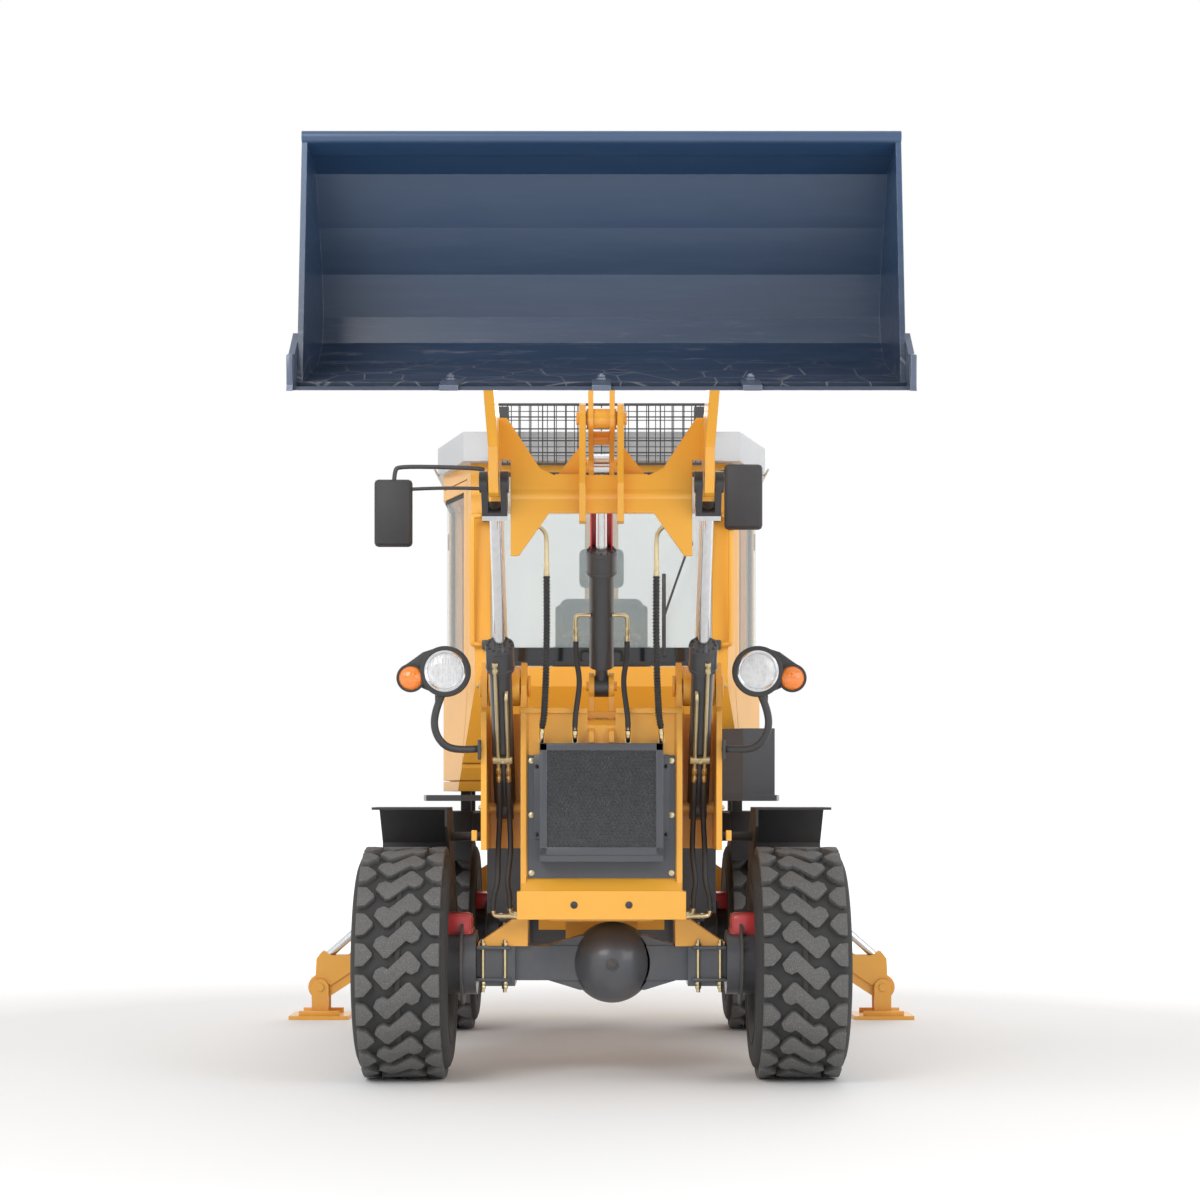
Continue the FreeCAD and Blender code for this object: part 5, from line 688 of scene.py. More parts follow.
def frontDetails():
    boltSet("towBolts", [near(x, -0.357, 0.823) for x in (-0.124, 0.124)], (0, -1, 0), 0.013, "front",
            finishes["black"])
    strips = [
        boxPiece("strip", near(-0.375, -0.322, 1.690), near(-0.064, -0.236, 1.716), 0.004),
        boxPiece("strip", near(0.064, -0.322, 1.690), near(0.375, -0.236, 1.716), 0.004),
        boxPiece("strip", near(-0.346, -0.312, 0.955), near(-0.338, -0.268, 1.690), 0.002),
        boxPiece("strip", near(0.338, -0.312, 0.955), near(0.346, -0.268, 1.690), 0.002),
    ]
    for side in (-1, 1):
        strips.append(rodPiece("weld", near(side * 0.338, -0.302, 0.95), near(side * 0.338, -0.302, 1.69), 0.006, 10))
        strips.append(rodPiece("weld", near(side * 0.382, -0.352, 0.760), near(side * 0.345, -0.352, 0.884), 0.005, 10))
        strips.append(boxPiece("clevis", near(side * 0.566, -0.318, 1.112), near(side * 0.590, -0.268, 1.160), 0.003))
    strips.append(rodPiece("weld", near(-0.37, -0.355, 0.884), near(0.37, -0.355, 0.884), 0.005, 10))
    finishPiece(joinPieces("frontStrips", strips), "front", finishes["yellow"])
    caps = []
    for side in (-1, 1):
        for y, z, radius in ((-0.180, 1.820, 0.05), (-0.050, 1.262, 0.042)):
            caps.append(rodPiece("cap", near(side * 0.545, y, z), near(side * 0.560, y, z), radius, 28, 0.004))
            caps.append(rodPiece("cap", near(side * 0.338, y, z), near(side * 0.326, y, z), radius, 28, 0.004))
    finishPiece(joinPieces("towerPins", caps), "front", finishes["yellow"])
    boltSet("pinBolts", [near(side * 0.560, y, z) for side in (1,) for y, z in ((-0.180, 1.820), (-0.050, 1.262))],
            (1, 0, 0), 0.010, "front", finishes["zinc"])
    boltSet("pinBoltsLeft", [near(-0.560, y, z) for y, z in ((-0.180, 1.820), (-0.050, 1.262))],
            (-1, 0, 0), 0.010, "front", finishes["zinc"])


coolerMesh()
coolerCase()
frontDetails()
print("stage: cooler and front plate")


# ---- axles and brakes

axle = {"domeX": 0.050, "z": 0.540, "studX": (0.447, 0.549), "studY": 0.082}


def axleDetails(label, y, body, domeX):
    plug = rodPiece("plug", near(domeX, y - 0.186, axle["z"]), near(domeX, y - 0.200, axle["z"]), 0.020, 6, 0.002)
    ring = rodPiece("ring", near(domeX, y - 0.180, axle["z"]), near(domeX, y - 0.192, axle["z"]), 0.030, 32, 0.003)
    finishPiece(joinPieces(label + "Plug", [ring, plug]), body, finishes["black"])
    plates = []
    for side in (-1, 1):
        plates.append(boxPiece("pad", near(side * 0.42, y - 0.134, 0.606), near(side * 0.578, y + 0.105, 0.622), 0.004))
        plates.append(boxPiece("pad", near(side * 0.42, y - 0.134, 0.458), near(side * 0.578, y + 0.105, 0.474), 0.004))
    finishPiece(joinPieces(label + "Pads", plates), body, finishes["axle"])
    studs = []
    for x in axle["studX"]:
        for side in (-1, 1):
            studs.append(rodPiece("stud", near(side * x, y - 0.116, 0.408), near(side * x, y - 0.116, 0.650), 0.009, 14))
            for low in (0.424, 0.442, 0.622):
                studs.append(rodPiece("nut", near(side * x, y - 0.116, low), near(side * x, y - 0.116, low + 0.015),
                                      0.016, 6, 0.002))
    finishPiece(joinPieces(label + "Studs", studs), body, finishes["zinc"])
    shells = []
    for side in (-1, 1):
        cover = boxPiece("cover", near(side * 0.601, y - 0.078, 0.668), near(side * 0.738, y + 0.078, 0.772), 0.026)
        bevelEdges(cover, 0.004, 2)
        shells.append(cover)
        shells.append(boxPiece("lip", near(side * 0.596, y - 0.072, 0.676), near(side * 0.606, y + 0.072, 0.700), 0.003))
    finishPiece(joinPieces(label + "Covers", shells), body, finishes["red"])
    discs = []
    for side in (-1, 1):
        discs.append(spunPiece("disc", [(x * side, r) for x, r in ((0.640, 0.10), (0.640, 0.198), (0.652, 0.198),
                                                                  (0.652, 0.10))], near(0, y, axle["z"]), 48))
        for k in range(5):
            turn = math.tau * k / 5 + 0.4
            discs.append(rodPiece("lug", near(side * 0.60, y + 0.10 * math.cos(turn), 0.54 + 0.10 * math.sin(turn)),
                                  near(side * 0.628, y + 0.10 * math.cos(turn), 0.54 + 0.10 * math.sin(turn)), 0.013, 6))
    finishPiece(joinPieces(label + "Discs", discs), body, finishes["iron"])


rearY = (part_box("rear_left_tyre")[0].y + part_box("rear_left_tyre")[1].y) / 2 - axleY
axleDetails("frontAxle", 0.0, "front", axle["domeX"])
axleDetails("rearAxle", rearY, "chassis", 0.0)
print("stage: axles and brakes")


# ---- hydraulic tubes, hoses and fittings

lift = {"base": (-0.050, 1.262), "lean": (-0.6292, 0.7773), "x": 0.448, "radius": 0.050, "gland": 0.063}
tilt = {"base": (-0.180, 1.820), "lean": (-0.4358, 0.9000), "radius": 0.056, "gland": 0.068}


def along(ram, x, run, off):     # a place on a cylinder: run from its base pin, off to its front
    y, z = ram["base"]
    dy, dz = ram["lean"]
    return near(x, y + dy * run - dz * off, z + dz * run + dy * off)


def glandBolts(name, ram, x, run, body, count=12):
    dy, dz = ram["lean"]
    axis = Vector((0, dy, dz))
    side = Vector((1, 0, 0))
    up = axis.cross(side)
    centre = along(ram, x, run, 0)
    radius = ram["gland"] - 0.009
    spots = [centre + side * radius * math.cos(math.tau * k / count) + up * radius * math.sin(math.tau * k / count)
             for k in range(count)]
    return boltSet(name, spots, axis, 0.0065, body, finishes["black"])


def fitting(name, start, end, size=0.013):
    start, end = Vector(start), Vector(end)
    run = end - start
    parts = [rodPiece(name, start, start + run * 0.42, size, 6, 0.0015),
             rodPiece(name, start + run * 0.36, start + run * 0.64, size * 0.72, 16),
             rodPiece(name, start + run * 0.58, end, size * 0.92, 20, 0.0015)]
    return parts


def liftPlumbing(side):
    x = lift["x"] * side
    label = "left" if side < 0 else "right"
    off = lift["radius"] + 0.014
    gold = []
    for shift, top in ((0.020, 0.842), (-0.024, 0.70)):
        tx = x + shift * side
        gold.append(tubePiece("tube", [along(lift, tx, top, off - 0.020), along(lift, tx, top - 0.01, off + 0.006),
                                       along(lift, tx, top - 0.05, off), along(lift, tx, 0.36, off),
                                       along(lift, tx, 0.285, off)], 0.0085))
        gold += fitting("fitting", along(lift, tx, 0.285, off), along(lift, tx, 0.205, off))
    gold += fitting("fitting", along(lift, x + 0.020 * side, 0.872, off - 0.004),
                    along(lift, x + 0.020 * side, 0.815, off - 0.001), 0.015)
    body = "lift_barrels"
    finishPiece(joinPieces(label + "LiftTubes", gold), body, finishes["zinc"])
    clamp = [boxPiece("clamp", (x - 0.046, -0.010, -0.016), (x + 0.044, 0.012, 0.016), 0.003),
             rodPiece("bolt", (x, -0.010, 0), (x, -0.020, 0), 0.010, 6, 0.001)]
    clamp = joinPieces(label + "LiftClamp", clamp)
    dy, dz = lift["lean"]
    turn = Vector((0, dy, dz)).to_track_quat("Z", "Y").to_matrix().to_4x4()
    lean = math.atan2(-dy, dz)
    clamp.data.transform(Matrix.Translation(along(lift, 0, 0.33, off)) @ Matrix.Rotation(lean, 4, "X"))
    finishPiece(clamp, body, finishes["zinc"])
    hoses = []
    for shift, endX, endZ in ((0.020, x + 0.050 * side, 0.79), (-0.024, x - 0.028 * side, 0.80)):
        start = along(lift, x + shift * side, 0.205, off)
        hoses.append(tubePiece("hose", [start, start + Vector((0, 0.012, -0.06)), near(x + shift * side, -0.135, 1.22),
                                        near(x + shift * side * 1.4, -0.190, 1.05), near((x + endX) / 2, -0.215, 0.92),
                                        near(endX, -0.205, endZ + 0.06), near(endX, -0.198, endZ)], 0.0125))
    bendPiece(joinPieces(label + "LiftHoses", hoses))
    ends = []
    for endX, endZ in ((x + 0.050 * side, 0.79), (x - 0.028 * side, 0.80)):
        ends += fitting("fitting", near(endX, -0.198, endZ + 0.035), near(endX, -0.196, endZ - 0.012), 0.014)
        ends.append(tubePiece("elbow", [near(endX, -0.196, endZ - 0.006), near(endX, -0.194, endZ - 0.022),
                                        near(endX - 0.03 * side, -0.190, endZ - 0.026),
                                        near(0.376 * side, -0.186, endZ - 0.026)], 0.011))
        ends.append(rodPiece("nut", near(0.378 * side, -0.186, endZ - 0.026),
                             near(0.402 * side, -0.187, endZ - 0.026), 0.017, 6, 0.0015))
    finishPiece(joinPieces(label + "LiftElbows", ends), "front", finishes["zinc"])
    glandBolts(label + "LiftGland", lift, x, 0.925, body)
    bands = [rodPiece("band", along(lift, x, run, 0), along(lift, x, run + 0.012, 0), lift["gland"] + 0.002, 40, 0.002)
             for run in (0.806, 0.905)]
    finishPiece(joinPieces(label + "LiftBands", bands), body, finishes["barrel"])


def spiralHose(name, points, radius):
    tube = tubePiece(name, points, radius, 6)
    clearSelection()
    wound = []
    places = [Vector(p) for p in points]
    total = sum((b - a).length for a, b in zip(places, places[1:]))
    count = int(total / 0.017)
    for k in range(1, count):
        run = total * k / count
        for a, b in zip(places, places[1:]):
            if run <= (b - a).length:
                break
            run -= (b - a).length
        spot = a.lerp(b, run / (b - a).length)
        turn = (b - a).to_track_quat("Z", "Y") @ Matrix.Rotation(0.35, 4, "X").to_quaternion()
        bpy.ops.mesh.primitive_torus_add(location=spot, rotation=turn.to_euler(), major_radius=radius + 0.001,
                                         minor_radius=0.0032, major_segments=16, minor_segments=6)
        ring = bpy.context.object
        settle(ring)
        wound.append(ring)
    piece = joinPieces(name, [tube, *wound])
    bpy.ops.object.shade_smooth()
    return bendPiece(piece)


def bendPiece(piece):
    piece.data.materials.clear()
    piece.data.materials.append(finishes["rubber"])
    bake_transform(piece)
    return piece


def tiltPlumbing():
    gold, armTubes = [], []
    for side in (-1, 1):
        outer = near(0.270 * side, -0.352, 1.560)
        spiralHose("spiralHose", [near(0.236 * side, -0.86, 2.270), near(0.238 * side, -0.72, 2.06),
                                  near(0.246 * side, -0.56, 1.84), near(0.258 * side, -0.40, 1.68),
                                  near(0.268 * side, -0.356, 1.625)], 0.0125)
        gold += fitting("fitting", near(0.268 * side, -0.356, 1.640), near(0.270 * side, -0.352, 1.590))
        gold.append(tubePiece("elbow", [outer + Vector((0, 0, 0.034)), outer + Vector((0, 0.0, 0.010)),
                                        outer + Vector((0.002 * side, 0.018, 0.0)),
                                        near(0.272 * side, -0.306, 1.566)], 0.010))
        gold.append(rodPiece("nut", near(0.272 * side, -0.300, 1.566), near(0.272 * side, -0.318, 1.566), 0.016, 6))
        armTubes += fitting("fitting", near(0.236 * side, -0.878, 2.325), near(0.236 * side, -0.862, 2.262))
        armTubes.append(tubePiece("tube", [near(0.362 * side, -1.055, 2.505), near(0.300 * side, -1.010, 2.480),
                                           near(0.240 * side, -0.935, 2.450), near(0.234 * side, -0.895, 2.400),
                                           near(0.236 * side, -0.880, 2.318)], 0.0095))
        inner = near(0.120 * side, -0.350, 1.566)
        top = along(tilt, 0.116 * side, 0.240, 0.044)
        hose = tubePiece("tiltHose", [top, top + Vector((0.002 * side, 0.010, -0.07)), near(0.096 * side, -0.345, 1.84),
                                      near(0.112 * side, -0.362, 1.72), near(0.120 * side, -0.356, 1.66),
                                      near(0.120 * side, -0.350, 1.61)], 0.0125)
        bendPiece(hose)
        gold += fitting("fitting", near(0.120 * side, -0.352, 1.632), near(0.120 * side, -0.350, 1.588))
        gold.append(tubePiece("elbow", [inner + Vector((0, 0, 0.030)), inner + Vector((0, 0, 0.010)),
                                        inner + Vector((0, 0.018, 0.0)), near(0.120 * side, -0.306, 1.566)], 0.010))
        gold.append(rodPiece("nut", near(0.120 * side, -0.300, 1.566), near(0.120 * side, -0.318, 1.566), 0.016, 6))
    finishPiece(joinPieces("plateElbows", gold), "front", finishes["zinc"])
    finishPiece(joinPieces("armTubes", armTubes), "arms", finishes["zinc"])
    loops = []
    for side in (-1, 1):
        loops.append(tubePiece("loop", [along(tilt, 0.050 * side, 0.36, 0.030), along(tilt, 0.080 * side, 0.365, 0.034),
                                        along(tilt, 0.114 * side, 0.362, 0.036), along(tilt, 0.118 * side, 0.34, 0.038),
                                        along(tilt, 0.117 * side, 0.30, 0.040)], 0.009))
        loops += fitting("fitting", along(tilt, 0.117 * side, 0.305, 0.040), along(tilt, 0.116 * side, 0.235, 0.044))
    finishPiece(joinPieces("tiltLoops", loops), "tilt_barrel", finishes["zinc"])
    glandBolts("tiltGland", tilt, 0, 0.660, "tilt_barrel")
    bands = [rodPiece("band", along(tilt, 0, run, 0), along(tilt, 0, run + 0.012, 0), tilt["gland"] + 0.002, 40, 0.002)
             for run in (0.552, 0.640)]
    finishPiece(joinPieces("tiltBands", bands), "tilt_barrel", finishes["barrel"])
    prop = []
    for side in (-1, 1):
        prop.append(outlinePiece("prop", [(0.60, -0.070), (0.86, -0.070), (0.86, -0.012), (0.60, -0.012)], 0.007,
                                 lambda u, v, w: along(tilt, side * (0.043 + w), u, v)))
    prop.append(outlinePiece("prop", [(0.60, -0.076), (0.86, -0.076), (0.86, -0.069), (0.60, -0.069)], 0.100,
                             lambda u, v, w: along(tilt, -0.050 + w, u, v)))
    finishPiece(joinPieces("redProp", prop), "tilt_barrel", finishes["red"])


liftPlumbing(-1)
liftPlumbing(1)
tiltPlumbing()
print("stage: tubes and hoses")


# ---- lamps

lamp = {"x": 0.695, "y": -0.530, "z": 1.870, "radius": 0.098, "turnX": 0.848, "turnZ": 1.840}


def makeLamps():
    for side, label in ((-1, "left"), (1, "right")):
        x = lamp["x"] * side
        shell = spunPiece("shell", [(0.000, 0.080), (-0.006, 0.100), (-0.002, 0.112), (0.030, 0.114), (0.080, 0.100),
                                    (0.120, 0.070), (0.140, 0.030), (0.142, 0.0)], (0, 0, 0), 56)
        shell.data.transform(Matrix.Translation(near(x, lamp["y"] - 0.004, lamp["z"]))
                             @ Matrix.Rotation(math.pi / 2, 4, "Z"))
        pod = spunPiece("pod", [(0.0, 0.046), (-0.004, 0.058), (0.0, 0.064), (0.040, 0.060), (0.080, 0.030),
                                (0.086, 0.0)], (0, 0, 0), 40)
        pod.data.transform(Matrix.Translation(near(lamp["turnX"] * side, lamp["y"] + 0.004, lamp["turnZ"]))
                           @ Matrix.Rotation(math.pi / 2, 4, "Z"))
        brow = outlinePiece("brow", [(0.02, 0.112), (0.10, 0.086), (0.155, 0.046), (0.205, 0.012), (0.19, -0.03),
                                     (0.10, -0.075), (0.02, -0.108)], 0.07,
                            lambda u, v, w: near(x + u * side, lamp["y"] + 0.012 + w, lamp["z"] + v), 0.010)
        finishPiece(joinPieces(label + "LampShell", [shell, pod, brow]), "front", finishes["plastic"])
        bowl = spunPiece("bowl", [(0.004, 0.086), (0.030, 0.070), (0.050, 0.040), (0.056, 0.014), (0.040, 0.012),
                                  (0.036, 0.0)], (0, 0, 0), 48)
        bowl.data.transform(Matrix.Translation(near(x, lamp["y"] - 0.004, lamp["z"]))
                            @ Matrix.Rotation(math.pi / 2, 4, "Z"))
        finishPiece(bowl, "front", finishes["mirror"])
        bezel = spunPiece("bezel", [(-0.006, 0.080), (-0.010, 0.086), (-0.006, 0.092), (0.004, 0.090)], (0, 0, 0), 56)
        bezel.data.transform(Matrix.Translation(near(x, lamp["y"] - 0.002, lamp["z"]))
                             @ Matrix.Rotation(math.pi / 2, 4, "Z"))
        finishPiece(bezel, "front", finishes["rod"])
        glass = spunPiece("lens", [(-0.022, 0.0), (-0.019, 0.040), (-0.012, 0.066), (-0.002, 0.084), (0.001, 0.084),
                                   (-0.009, 0.066), (-0.016, 0.040), (-0.019, 0.0)], (0, 0, 0), 48)
        glass.data.transform(Matrix.Translation(near(x, lamp["y"] - 0.002, lamp["z"]))
                             @ Matrix.Rotation(math.pi / 2, 4, "Z"))
        finishPiece(glass, "front", finishes["lens"])
        amber = spunPiece("amber", [(-0.030, 0.0), (-0.026, 0.022), (-0.016, 0.042), (0.0, 0.053), (0.012, 0.053),
                                    (0.012, 0.0)], (0, 0, 0), 36)
        amber.data.transform(Matrix.Translation(near(lamp["turnX"] * side, lamp["y"] + 0.002, lamp["turnZ"]))
                             @ Matrix.Rotation(math.pi / 2, 4, "Z"))
        finishPiece(amber, "front", finishes["orange"])
        stalk = tubePiece("stalk", [near(0.550 * side, -0.32, 1.530), near(0.640 * side, -0.36, 1.522),
                                    near(0.710 * side, -0.40, 1.540), near(0.752 * side, -0.430, 1.610),
                                    near(0.745 * side, -0.450, 1.700), near(0.710 * side, -0.470, 1.775)], 0.017)
        foot = boxPiece("foot", near(0.546 * side, -0.36, 1.480), near(0.560 * side, -0.27, 1.570), 0.004)
        finishPiece(joinPieces(label + "Stalk", [stalk, foot]), "front", finishes["black"],
                    ("lamp_stalks",))


makeLamps()
print("stage: lamps")


# ---- shovel

def shovelDetails():
    pads, pins = [], []
    for x in (-0.533, 0.0, 0.526):
        pads.append(outlinePiece("pad", [(-0.034, 0.0), (0.034, 0.0), (0.034, 0.16), (-0.034, 0.16)], 0.020,
                                 lambda u, v, w: near(x + u, -2.742 + v * 0.951 - w * 0.309, 2.726 + v * 0.309 + w * 0.951),
                                 0.004))
        pins += [near(x, -2.742 + 0.135 * 0.951 - 0.02 * 0.309, 2.746 + 0.135 * 0.309)]
    finishPiece(joinPieces("edgePads", pads), "bucket", finishes["edgeSteel"])
    boltSet("edgeBolts", pins, (0, -0.309, 0.951), 0.016, "bucket", finishes["edgeSteel"])
    corners = []
    for side in (-1, 1):
        corners.append(outlinePiece("corner", [(0.0, 0.0), (0.30, 0.0), (0.24, 0.10), (0.03, 0.11)], 0.024,
                                    lambda u, v, w: near(side * (1.076 + w * 0.9), -2.735 + u * 0.951 - v * 0.309,
                                                         2.738 + u * 0.309 + v * 0.951), 0.003))
    finishPiece(joinPieces("cornerCutters", corners), "bucket", finishes["edgeSteel"])


shovelDetails()
print("stage: shovel")


# ---- cab outside

cab = {"half": 0.840, "frontHalf": 0.560, "front": 0.900, "back": 2.580}


def rubberFrame(name, low, high, width, place, slot="frame_black"):
    bars = [
        outlinePiece("seal", [(low[0], low[1]), (high[0], low[1]), (high[0], low[1] + width), (low[0], low[1] + width)],
                     0.008, place),
        outlinePiece("seal", [(low[0], high[1] - width), (high[0], high[1] - width), (high[0], high[1]), (low[0], high[1])],
                     0.008, place),
        outlinePiece("seal", [(low[0], low[1]), (low[0] + width, low[1]), (low[0] + width, high[1]), (low[0], high[1])],
                     0.008, place),
        outlinePiece("seal", [(high[0] - width, low[1]), (high[0], low[1]), (high[0], high[1]), (high[0] - width, high[1])],
                     0.008, place),
    ]
    return joinPieces(name, bars)


def mirrorsAndRails():
    parts, shells, faces = [], [], []
    for side, x, z, high in ((-1, 1.050, 2.742, 0.340), (1, 0.716, 2.824, 0.330)):
        half = 0.096
        shell = boxPiece("shell", near(side * x - half, 0.836, z - high / 2), near(side * x + half, 0.886, z + high / 2),
                         0.020)
        shells.append(shell)
        rim = boxPiece("rim", near(side * x - half + 0.012, 0.826, z - high / 2 + 0.012),
                       near(side * x + half - 0.012, 0.840, z + high / 2 - 0.012), 0.005)
        shells.append(rim)
        faces.append(boxPiece("face", near(side * x - half + 0.010, 0.884, z - high / 2 + 0.012),
                              near(side * x + half - 0.010, 0.892, z + high / 2 - 0.012), 0.002))
    finishPiece(joinPieces("mirrorShells", shells), "chassis", finishes["plastic"],
                ("mirrors_and_rails",))
    finishPiece(joinPieces("mirrorFaces", faces), "chassis", finishes["mirror"])
    parts.append(tubePiece("arm", [near(-0.600, 0.912, 2.970), near(-0.62, 0.880, 2.972), near(-0.80, 0.864, 2.976),
                                   near(-1.02, 0.862, 2.978), near(-1.046, 0.862, 2.960), near(-1.048, 0.862, 2.88)],
                            0.011))
    parts.append(tubePiece("arm", [near(-0.600, 0.905, 2.872), near(-0.70, 0.868, 2.871), near(-0.90, 0.862, 2.868),
                                   near(-1.030, 0.862, 2.86)], 0.009))
    parts.append(tubePiece("arm", [near(0.590, 0.912, 2.950), near(0.620, 0.880, 2.954), near(0.690, 0.862, 2.960),
                                   near(0.716, 0.862, 2.940), near(0.716, 0.862, 2.88)], 0.011))
    for side in (-1, 1):
        for z in (2.080, 2.735):
            parts.append(boxPiece("pad", near(side * 0.566, 0.880, z - 0.024), near(side * 0.604, 0.960, z + 0.024), 0.004))
    finishPiece(joinPieces("mirrorArms", parts), "chassis", finishes["black"])
    rails = []
    for side in (-1, 1):
        x = side * 0.655
        rails.append(tubePiece("rail", [near(side * 0.590, 0.915, 2.735), near(x - 0.004 * side, 0.885, 2.735),
                                        near(x, 0.880, 2.715), near(x, 0.880, 2.40), near(x, 0.880, 2.100),
                                        near(x - 0.004 * side, 0.885, 2.080), near(side * 0.590, 0.915, 2.080)], 0.015, 7))
    finishPiece(joinPieces("handRails", rails), "chassis", finishes["yellow"])


def windscreenTrim():
    y = 0.912

    def front(u, v, w):
        return near(u, y - w, v)

    trim = rubberFrame("screenSeal", (-0.548, 1.975), (0.548, 2.955), 0.022, front)
    finishPiece(trim, "chassis", finishes["rubber"])
    band = outlinePiece("screenBand", [(-0.526, 1.992), (0.526, 1.992), (0.526, 2.068), (-0.526, 2.068)], 0.004,
                        lambda u, v, w: near(u, y + 0.006 - w, v))
    finishPiece(band, "chassis", finishes["dark"])
    wiper = [rodPiece("pivot", near(0.448, 0.916, 2.592), near(0.448, 0.886, 2.592), 0.017, 20, 0.003),
             tubePiece("arm", [near(0.448, 0.890, 2.592), near(0.42, 0.886, 2.52), near(0.36, 0.886, 2.35),
                               near(0.318, 0.890, 2.226)], 0.006),
             boxPiece("blade", near(0.310, 0.886, 2.02), near(0.322, 0.896, 2.44), 0.002),
             boxPiece("blade", near(0.306, 0.893, 2.02), near(0.326, 0.897, 2.44), 0.0)]
    finishPiece(joinPieces("wiper", wiper), "chassis", finishes["black"])


def roofTrim():
    low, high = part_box("cab_roof")
    gutter = [rodPiece("lip", (low.x + 0.26, low.y - 0.004, low.z + 0.006), (high.x - 0.26, low.y - 0.004, low.z + 0.006),
                       0.006, 12)]
    for side in (-1, 1):
        x = side * (high.x - 0.001)
        gutter.append(rodPiece("lip", (x, low.y + 0.34, low.z + 0.006), (x, high.y - 0.10, low.z + 0.006), 0.006, 12))
    finishPiece(joinPieces("roofLips", gutter), "chassis", finishes["roof"])
    beads = [boxPiece("bead", (side * 0.30 - 0.05, low.y + 0.25, high.z - 0.002), (side * 0.30 + 0.05, high.y - 0.2,
                      high.z + 0.008), 0.004) for side in (-1, 1)]
    finishPiece(joinPieces("roofBeads", beads), "chassis", finishes["roof"])


def guardMesh():
    low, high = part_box("window_guard")
    wires = []
    y = (low.y + high.y) / 2 - 0.01
    count = 24
    for k in range(1, count):
        x = low.x + (high.x - low.x) * k / count
        wires.append(rodPiece("wire", (x, y, low.z + 0.01), (x, y, high.z - 0.01), 0.0022, 8))
    for k in range(1, 7):
        z = low.z + (high.z - low.z) * k / 7
        wires.append(rodPiece("wire", (low.x + 0.01, y, z), (high.x - 0.01, y, z), 0.0022, 8))
    finishPiece(joinPieces("guardWires", wires), "chassis", finishes["black"])


pane = {"low": 1.974, "high": 2.886, "wall": 0.006, "parts": [((1.095, 0.686), (1.480, 0.818)),
                                                               ((1.480, 0.818), (1.956, 0.818))]}


def doorPanes():
    for side, label in ((-1, "left"), (1, "right")):
        panes, seals = [], []
        for (startY, startX), (endY, endX) in pane["parts"]:
            def wall(u, v, w):
                share = (u - startY) / (endY - startY)
                return near(side * (startX + (endX - startX) * share + w - pane["wall"] / 2), u, v)

            panes.append(outlinePiece("pane", [(startY, pane["low"]), (endY, pane["low"]), (endY, pane["high"]),
                                               (startY, pane["high"])], pane["wall"], wall))
            for low, high in ((pane["low"], pane["low"] + 0.022), (pane["high"] - 0.022, pane["high"])):
                seals.append(outlinePiece("seal", [(startY, low), (endY, low), (endY, high), (startY, high)], 0.014, wall))
        finishPiece(joinPieces(label + "DoorPanes", panes), "door_" + label, finishes["glass"])
        for y, x in ((1.108, 0.690), (1.944, 0.818)):
            seals.append(boxPiece("seal", near(side * (x - 0.008), y - 0.012, pane["low"]),
                                  near(side * (x + 0.010), y + 0.012, pane["high"]), 0))
        finishPiece(joinPieces(label + "DoorSeals", seals), "door_" + label, finishes["rubber"])


def doorTrim():
    for side, label in ((-1, "left"), (1, "right")):
        body = "door_" + label
        pieces = [boxPiece("grip", near(side * 0.842, 1.150, 1.800), near(side * 0.862, 1.185, 1.950), 0.006),
                  boxPiece("lock", near(side * 0.838, 1.135, 1.850), near(side * 0.850, 1.200, 1.900), 0.004)]
        finishPiece(joinPieces(label + "Handle", pieces), body, finishes["plastic"])
    for side, label in ((-1, "left"), (1, "right")):
        pieces = [rodPiece("knuckle", near(side * 0.838, 1.998, z - 0.045), near(side * 0.838, 1.998, z + 0.045), 0.014, 20,
                           0.002) for z in (1.62, 2.72)]
        finishPiece(joinPieces(label + "Hinges", pieces), "chassis", finishes["black"])


mirrorsAndRails()
windscreenTrim()
roofTrim()
guardMesh()
doorPanes()
doorTrim()
print("stage: cab outside")


# ---- seat and steering wheel

def cushionPiece(name, low, high, round_, lean=0.0, pivot=(0, 0, 0)):
    piece = boxPiece(name, low, high, 0)
    bevel = bevelEdges(piece, round_, 5)
    if lean:
        centre = Vector(pivot)
        bevel.data.transform(Matrix.Translation(centre) @ Matrix.Rotation(lean, 4, "X") @ Matrix.Translation(-centre))
    return bevel


def makeSeat():
    low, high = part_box("seat")
    front = low.y
    base = cushionPiece("seatBase", (-0.245, front + 0.01, 1.760), (0.245, front + 0.46, 1.900), 0.050)
    back = cushionPiece("seatBack", (-0.235, front + 0.385, 1.900), (0.235, front + 0.495, 2.420), 0.050)
    head = cushionPiece("headRest", (-0.125, front + 0.400, 2.480), (0.125, front + 0.480, 2.700), 0.036)
    rolls = [cushionPiece("roll", (side * 0.232 - 0.026, front + 0.370, 1.94), (side * 0.232 + 0.026, front + 0.490, 2.38),
                          0.024) for side in (-1, 1)]
    back = joinPieces("seatBack", [back, *rolls])
    for piece in (base, back, head):
        finishPiece(piece, "chassis", finishes["cloth"], ("seat",))
    frame_ = [boxPiece("riser", (-0.17, front + 0.06, low.z + 0.002), (0.17, front + 0.42, 1.60), 0.010),
              boxPiece("pan", (-0.225, front + 0.03, 1.700), (0.225, front + 0.45, 1.768), 0.014)]
    frame_ += [boxPiece("fold", (-0.20, front + 0.06, z), (0.20, front + 0.42, z + 0.020), 0.008) for z in (1.61, 1.64, 1.67)]
    frame_ += [rodPiece("post", (x, front + 0.44, 2.40), (x, front + 0.44, 2.50), 0.007) for x in (-0.06, 0.06)]
    frame_ += [boxPiece("armRest", (side * 0.250 - 0.020, front + 0.08, 2.080), (side * 0.250 + 0.008, front + 0.40, 2.120),
                        0.010) for side in (-1, 1)]
    finishPiece(joinPieces("seatFrame", frame_), "chassis", finishes["plastic"])


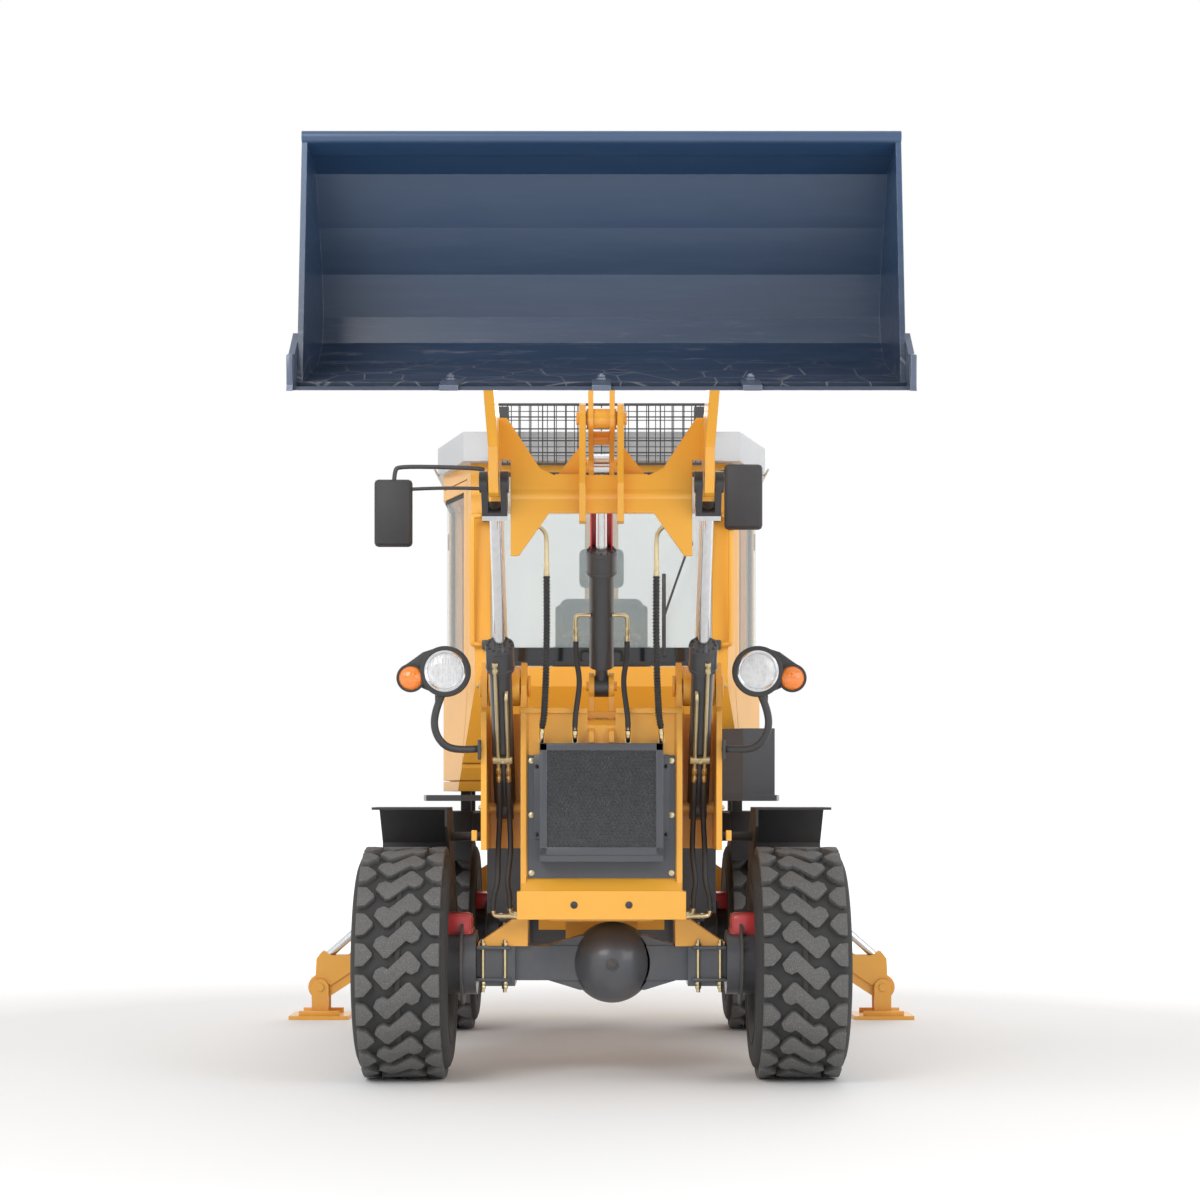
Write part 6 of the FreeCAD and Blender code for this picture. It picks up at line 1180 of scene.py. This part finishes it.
def makeSteering():
    low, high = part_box("steering_console")
    clearSelection()
    bpy.ops.mesh.primitive_torus_add(location=(0, 0, 0), major_radius=0.178, minor_radius=0.013, major_segments=64,
                                     minor_segments=12)
    wheel = bpy.context.object
    settle(wheel)
    bpy.ops.object.shade_smooth()
    spokes = [boxPiece("spoke", (-0.170, -0.013, -0.006), (0.170, 0.013, 0.006), 0.004),
              boxPiece("spoke", (-0.013, -0.170, -0.006), (0.013, 0.0, 0.006), 0.004),
              rodPiece("boss", (0, 0, -0.030), (0, 0, 0.014), 0.042, 32, 0.006),
              rodPiece("knob", (-0.150, 0.06, 0.008), (-0.150, 0.06, 0.048), 0.018, 20, 0.006)]
    wheel = joinPieces("steeringWheel", [wheel, *spokes])
    wheel.data.transform(Matrix.Translation((0, high.y - 0.235, high.z - 0.075)) @ Matrix.Rotation(math.radians(24), 4, "X"))
    finishPiece(wheel, "chassis", finishes["plastic"])


makeSeat()
makeSteering()
print("stage: seat and steering wheel")


# ---- stabiliser pads

def padDetails():
    for side, label in ((-1, "left"), (1, "right")):
        low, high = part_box("stabiliser_foot_" + label)
        middleX, middleY = (low.x + high.x) / 2, (low.y + high.y) / 2
        ribs = [boxPiece("rib", (middleX - 0.12, middleY + shift - 0.006, low.z + 0.018),
                         (middleX + 0.12, middleY + shift + 0.006, low.z + 0.050), 0.003) for shift in (-0.11, 0.11)]
        finishPiece(joinPieces(label + "PadRibs", ribs), "stabiliser_foot_" + label, finishes["yellow"])


padDetails()
print("stage: stabiliser pads")


# ---- camera, floor and light

cameraView = {"eyeHeight": 1.32, "beforeAxle": 10.73, "lens": 68.88, "shiftX": -0.00125, "shiftY": 0.1625}
floorLook = {"size": 400.0, "colour": (0.95, 0.95, 0.95), "clear": 4.0, "fade": 5.0, "glow": 0.55}
lightLook = {"sky": 0.62, "key": 520.0, "keyPlace": (-4.5, -9.5, 7.5), "keySize": 5.0, "fill": 260.0,
             "fillPlace": (7.0, -7.0, 5.0), "fillSize": 6.0, "back": 300.0, "backPlace": (2.0, 9.0, 7.0)}


def placeCamera():
    clearSelection()
    bpy.ops.object.camera_add(location=near(0, -cameraView["beforeAxle"], cameraView["eyeHeight"]),
                              rotation=(math.pi / 2, 0, 0))
    camera = bpy.context.object
    camera.name = "viewCamera"
    camera.data.lens = cameraView["lens"]
    camera.data.shift_x = cameraView["shiftX"]
    camera.data.shift_y = cameraView["shiftY"]
    camera.data.clip_end = 200
    bpy.context.scene.camera = camera


def placeLight(name, place, energy, size):
    clearSelection()
    aim = (Vector((0, 0, 1.4)) - Vector(place)).to_track_quat("-Z", "Y").to_euler()
    bpy.ops.object.light_add(type="AREA", location=place, rotation=aim)
    light = bpy.context.object
    light.name = name
    light.data.energy = energy
    light.data.size = size


def makeStage():
    clearSelection()
    bpy.ops.mesh.primitive_plane_add(size=floorLook["size"], location=(0, 0, 0))
    ground = bpy.context.object
    ground.name = "studioFloor"
    material, tree, shader = blankMaterial("studioFloor")
    tree.links.new(mixColour(tree, noiseOf(tree, 1.0), floorLook["colour"], floorLook["colour"]),
                   shader.inputs["Base Color"])
    shader.inputs["Roughness"].default_value = 0.9
    place = tree.nodes.new("ShaderNodeTexCoord")
    reach = tree.nodes.new("ShaderNodeVectorMath")
    reach.operation = "LENGTH"
    tree.links.new(place.outputs["Object"], reach.inputs[0])
    far = calc(tree, "DIVIDE", calc(tree, "SUBTRACT", reach.outputs["Value"], floorLook["clear"]), floorLook["fade"], True)
    shader.inputs["Emission Color"].default_value = (1, 1, 1, 1)
    tree.links.new(calc(tree, "MULTIPLY", far, floorLook["glow"]), shader.inputs["Emission Strength"])
    ground.data.materials.append(material)
    world = bpy.data.worlds.new("studioSky")
    bpy.context.scene.world = world
    world.use_nodes = True
    tree = world.node_tree
    sky = tree.nodes["Background"]
    sky.inputs["Color"].default_value = (1, 1, 1, 1)
    path = tree.nodes.new("ShaderNodeLightPath")
    seen = calc(tree, "MAXIMUM", path.outputs["Is Camera Ray"], path.outputs["Is Glossy Ray"])
    seen = calc(tree, "MAXIMUM", seen, path.outputs["Is Transmission Ray"])
    tree.links.new(calc(tree, "MAXIMUM", seen, lightLook["sky"]), sky.inputs["Strength"])
    placeLight("keyLight", lightLook["keyPlace"], lightLook["key"], lightLook["keySize"])
    placeLight("fillLight", lightLook["fillPlace"], lightLook["fill"], lightLook["fillSize"])
    placeLight("backLight", lightLook["backPlace"], lightLook["back"], lightLook["fillSize"])
    bpy.context.scene.view_settings.view_transform = "Standard"


placeCamera()
makeStage()
print("stage: camera, floor and light")
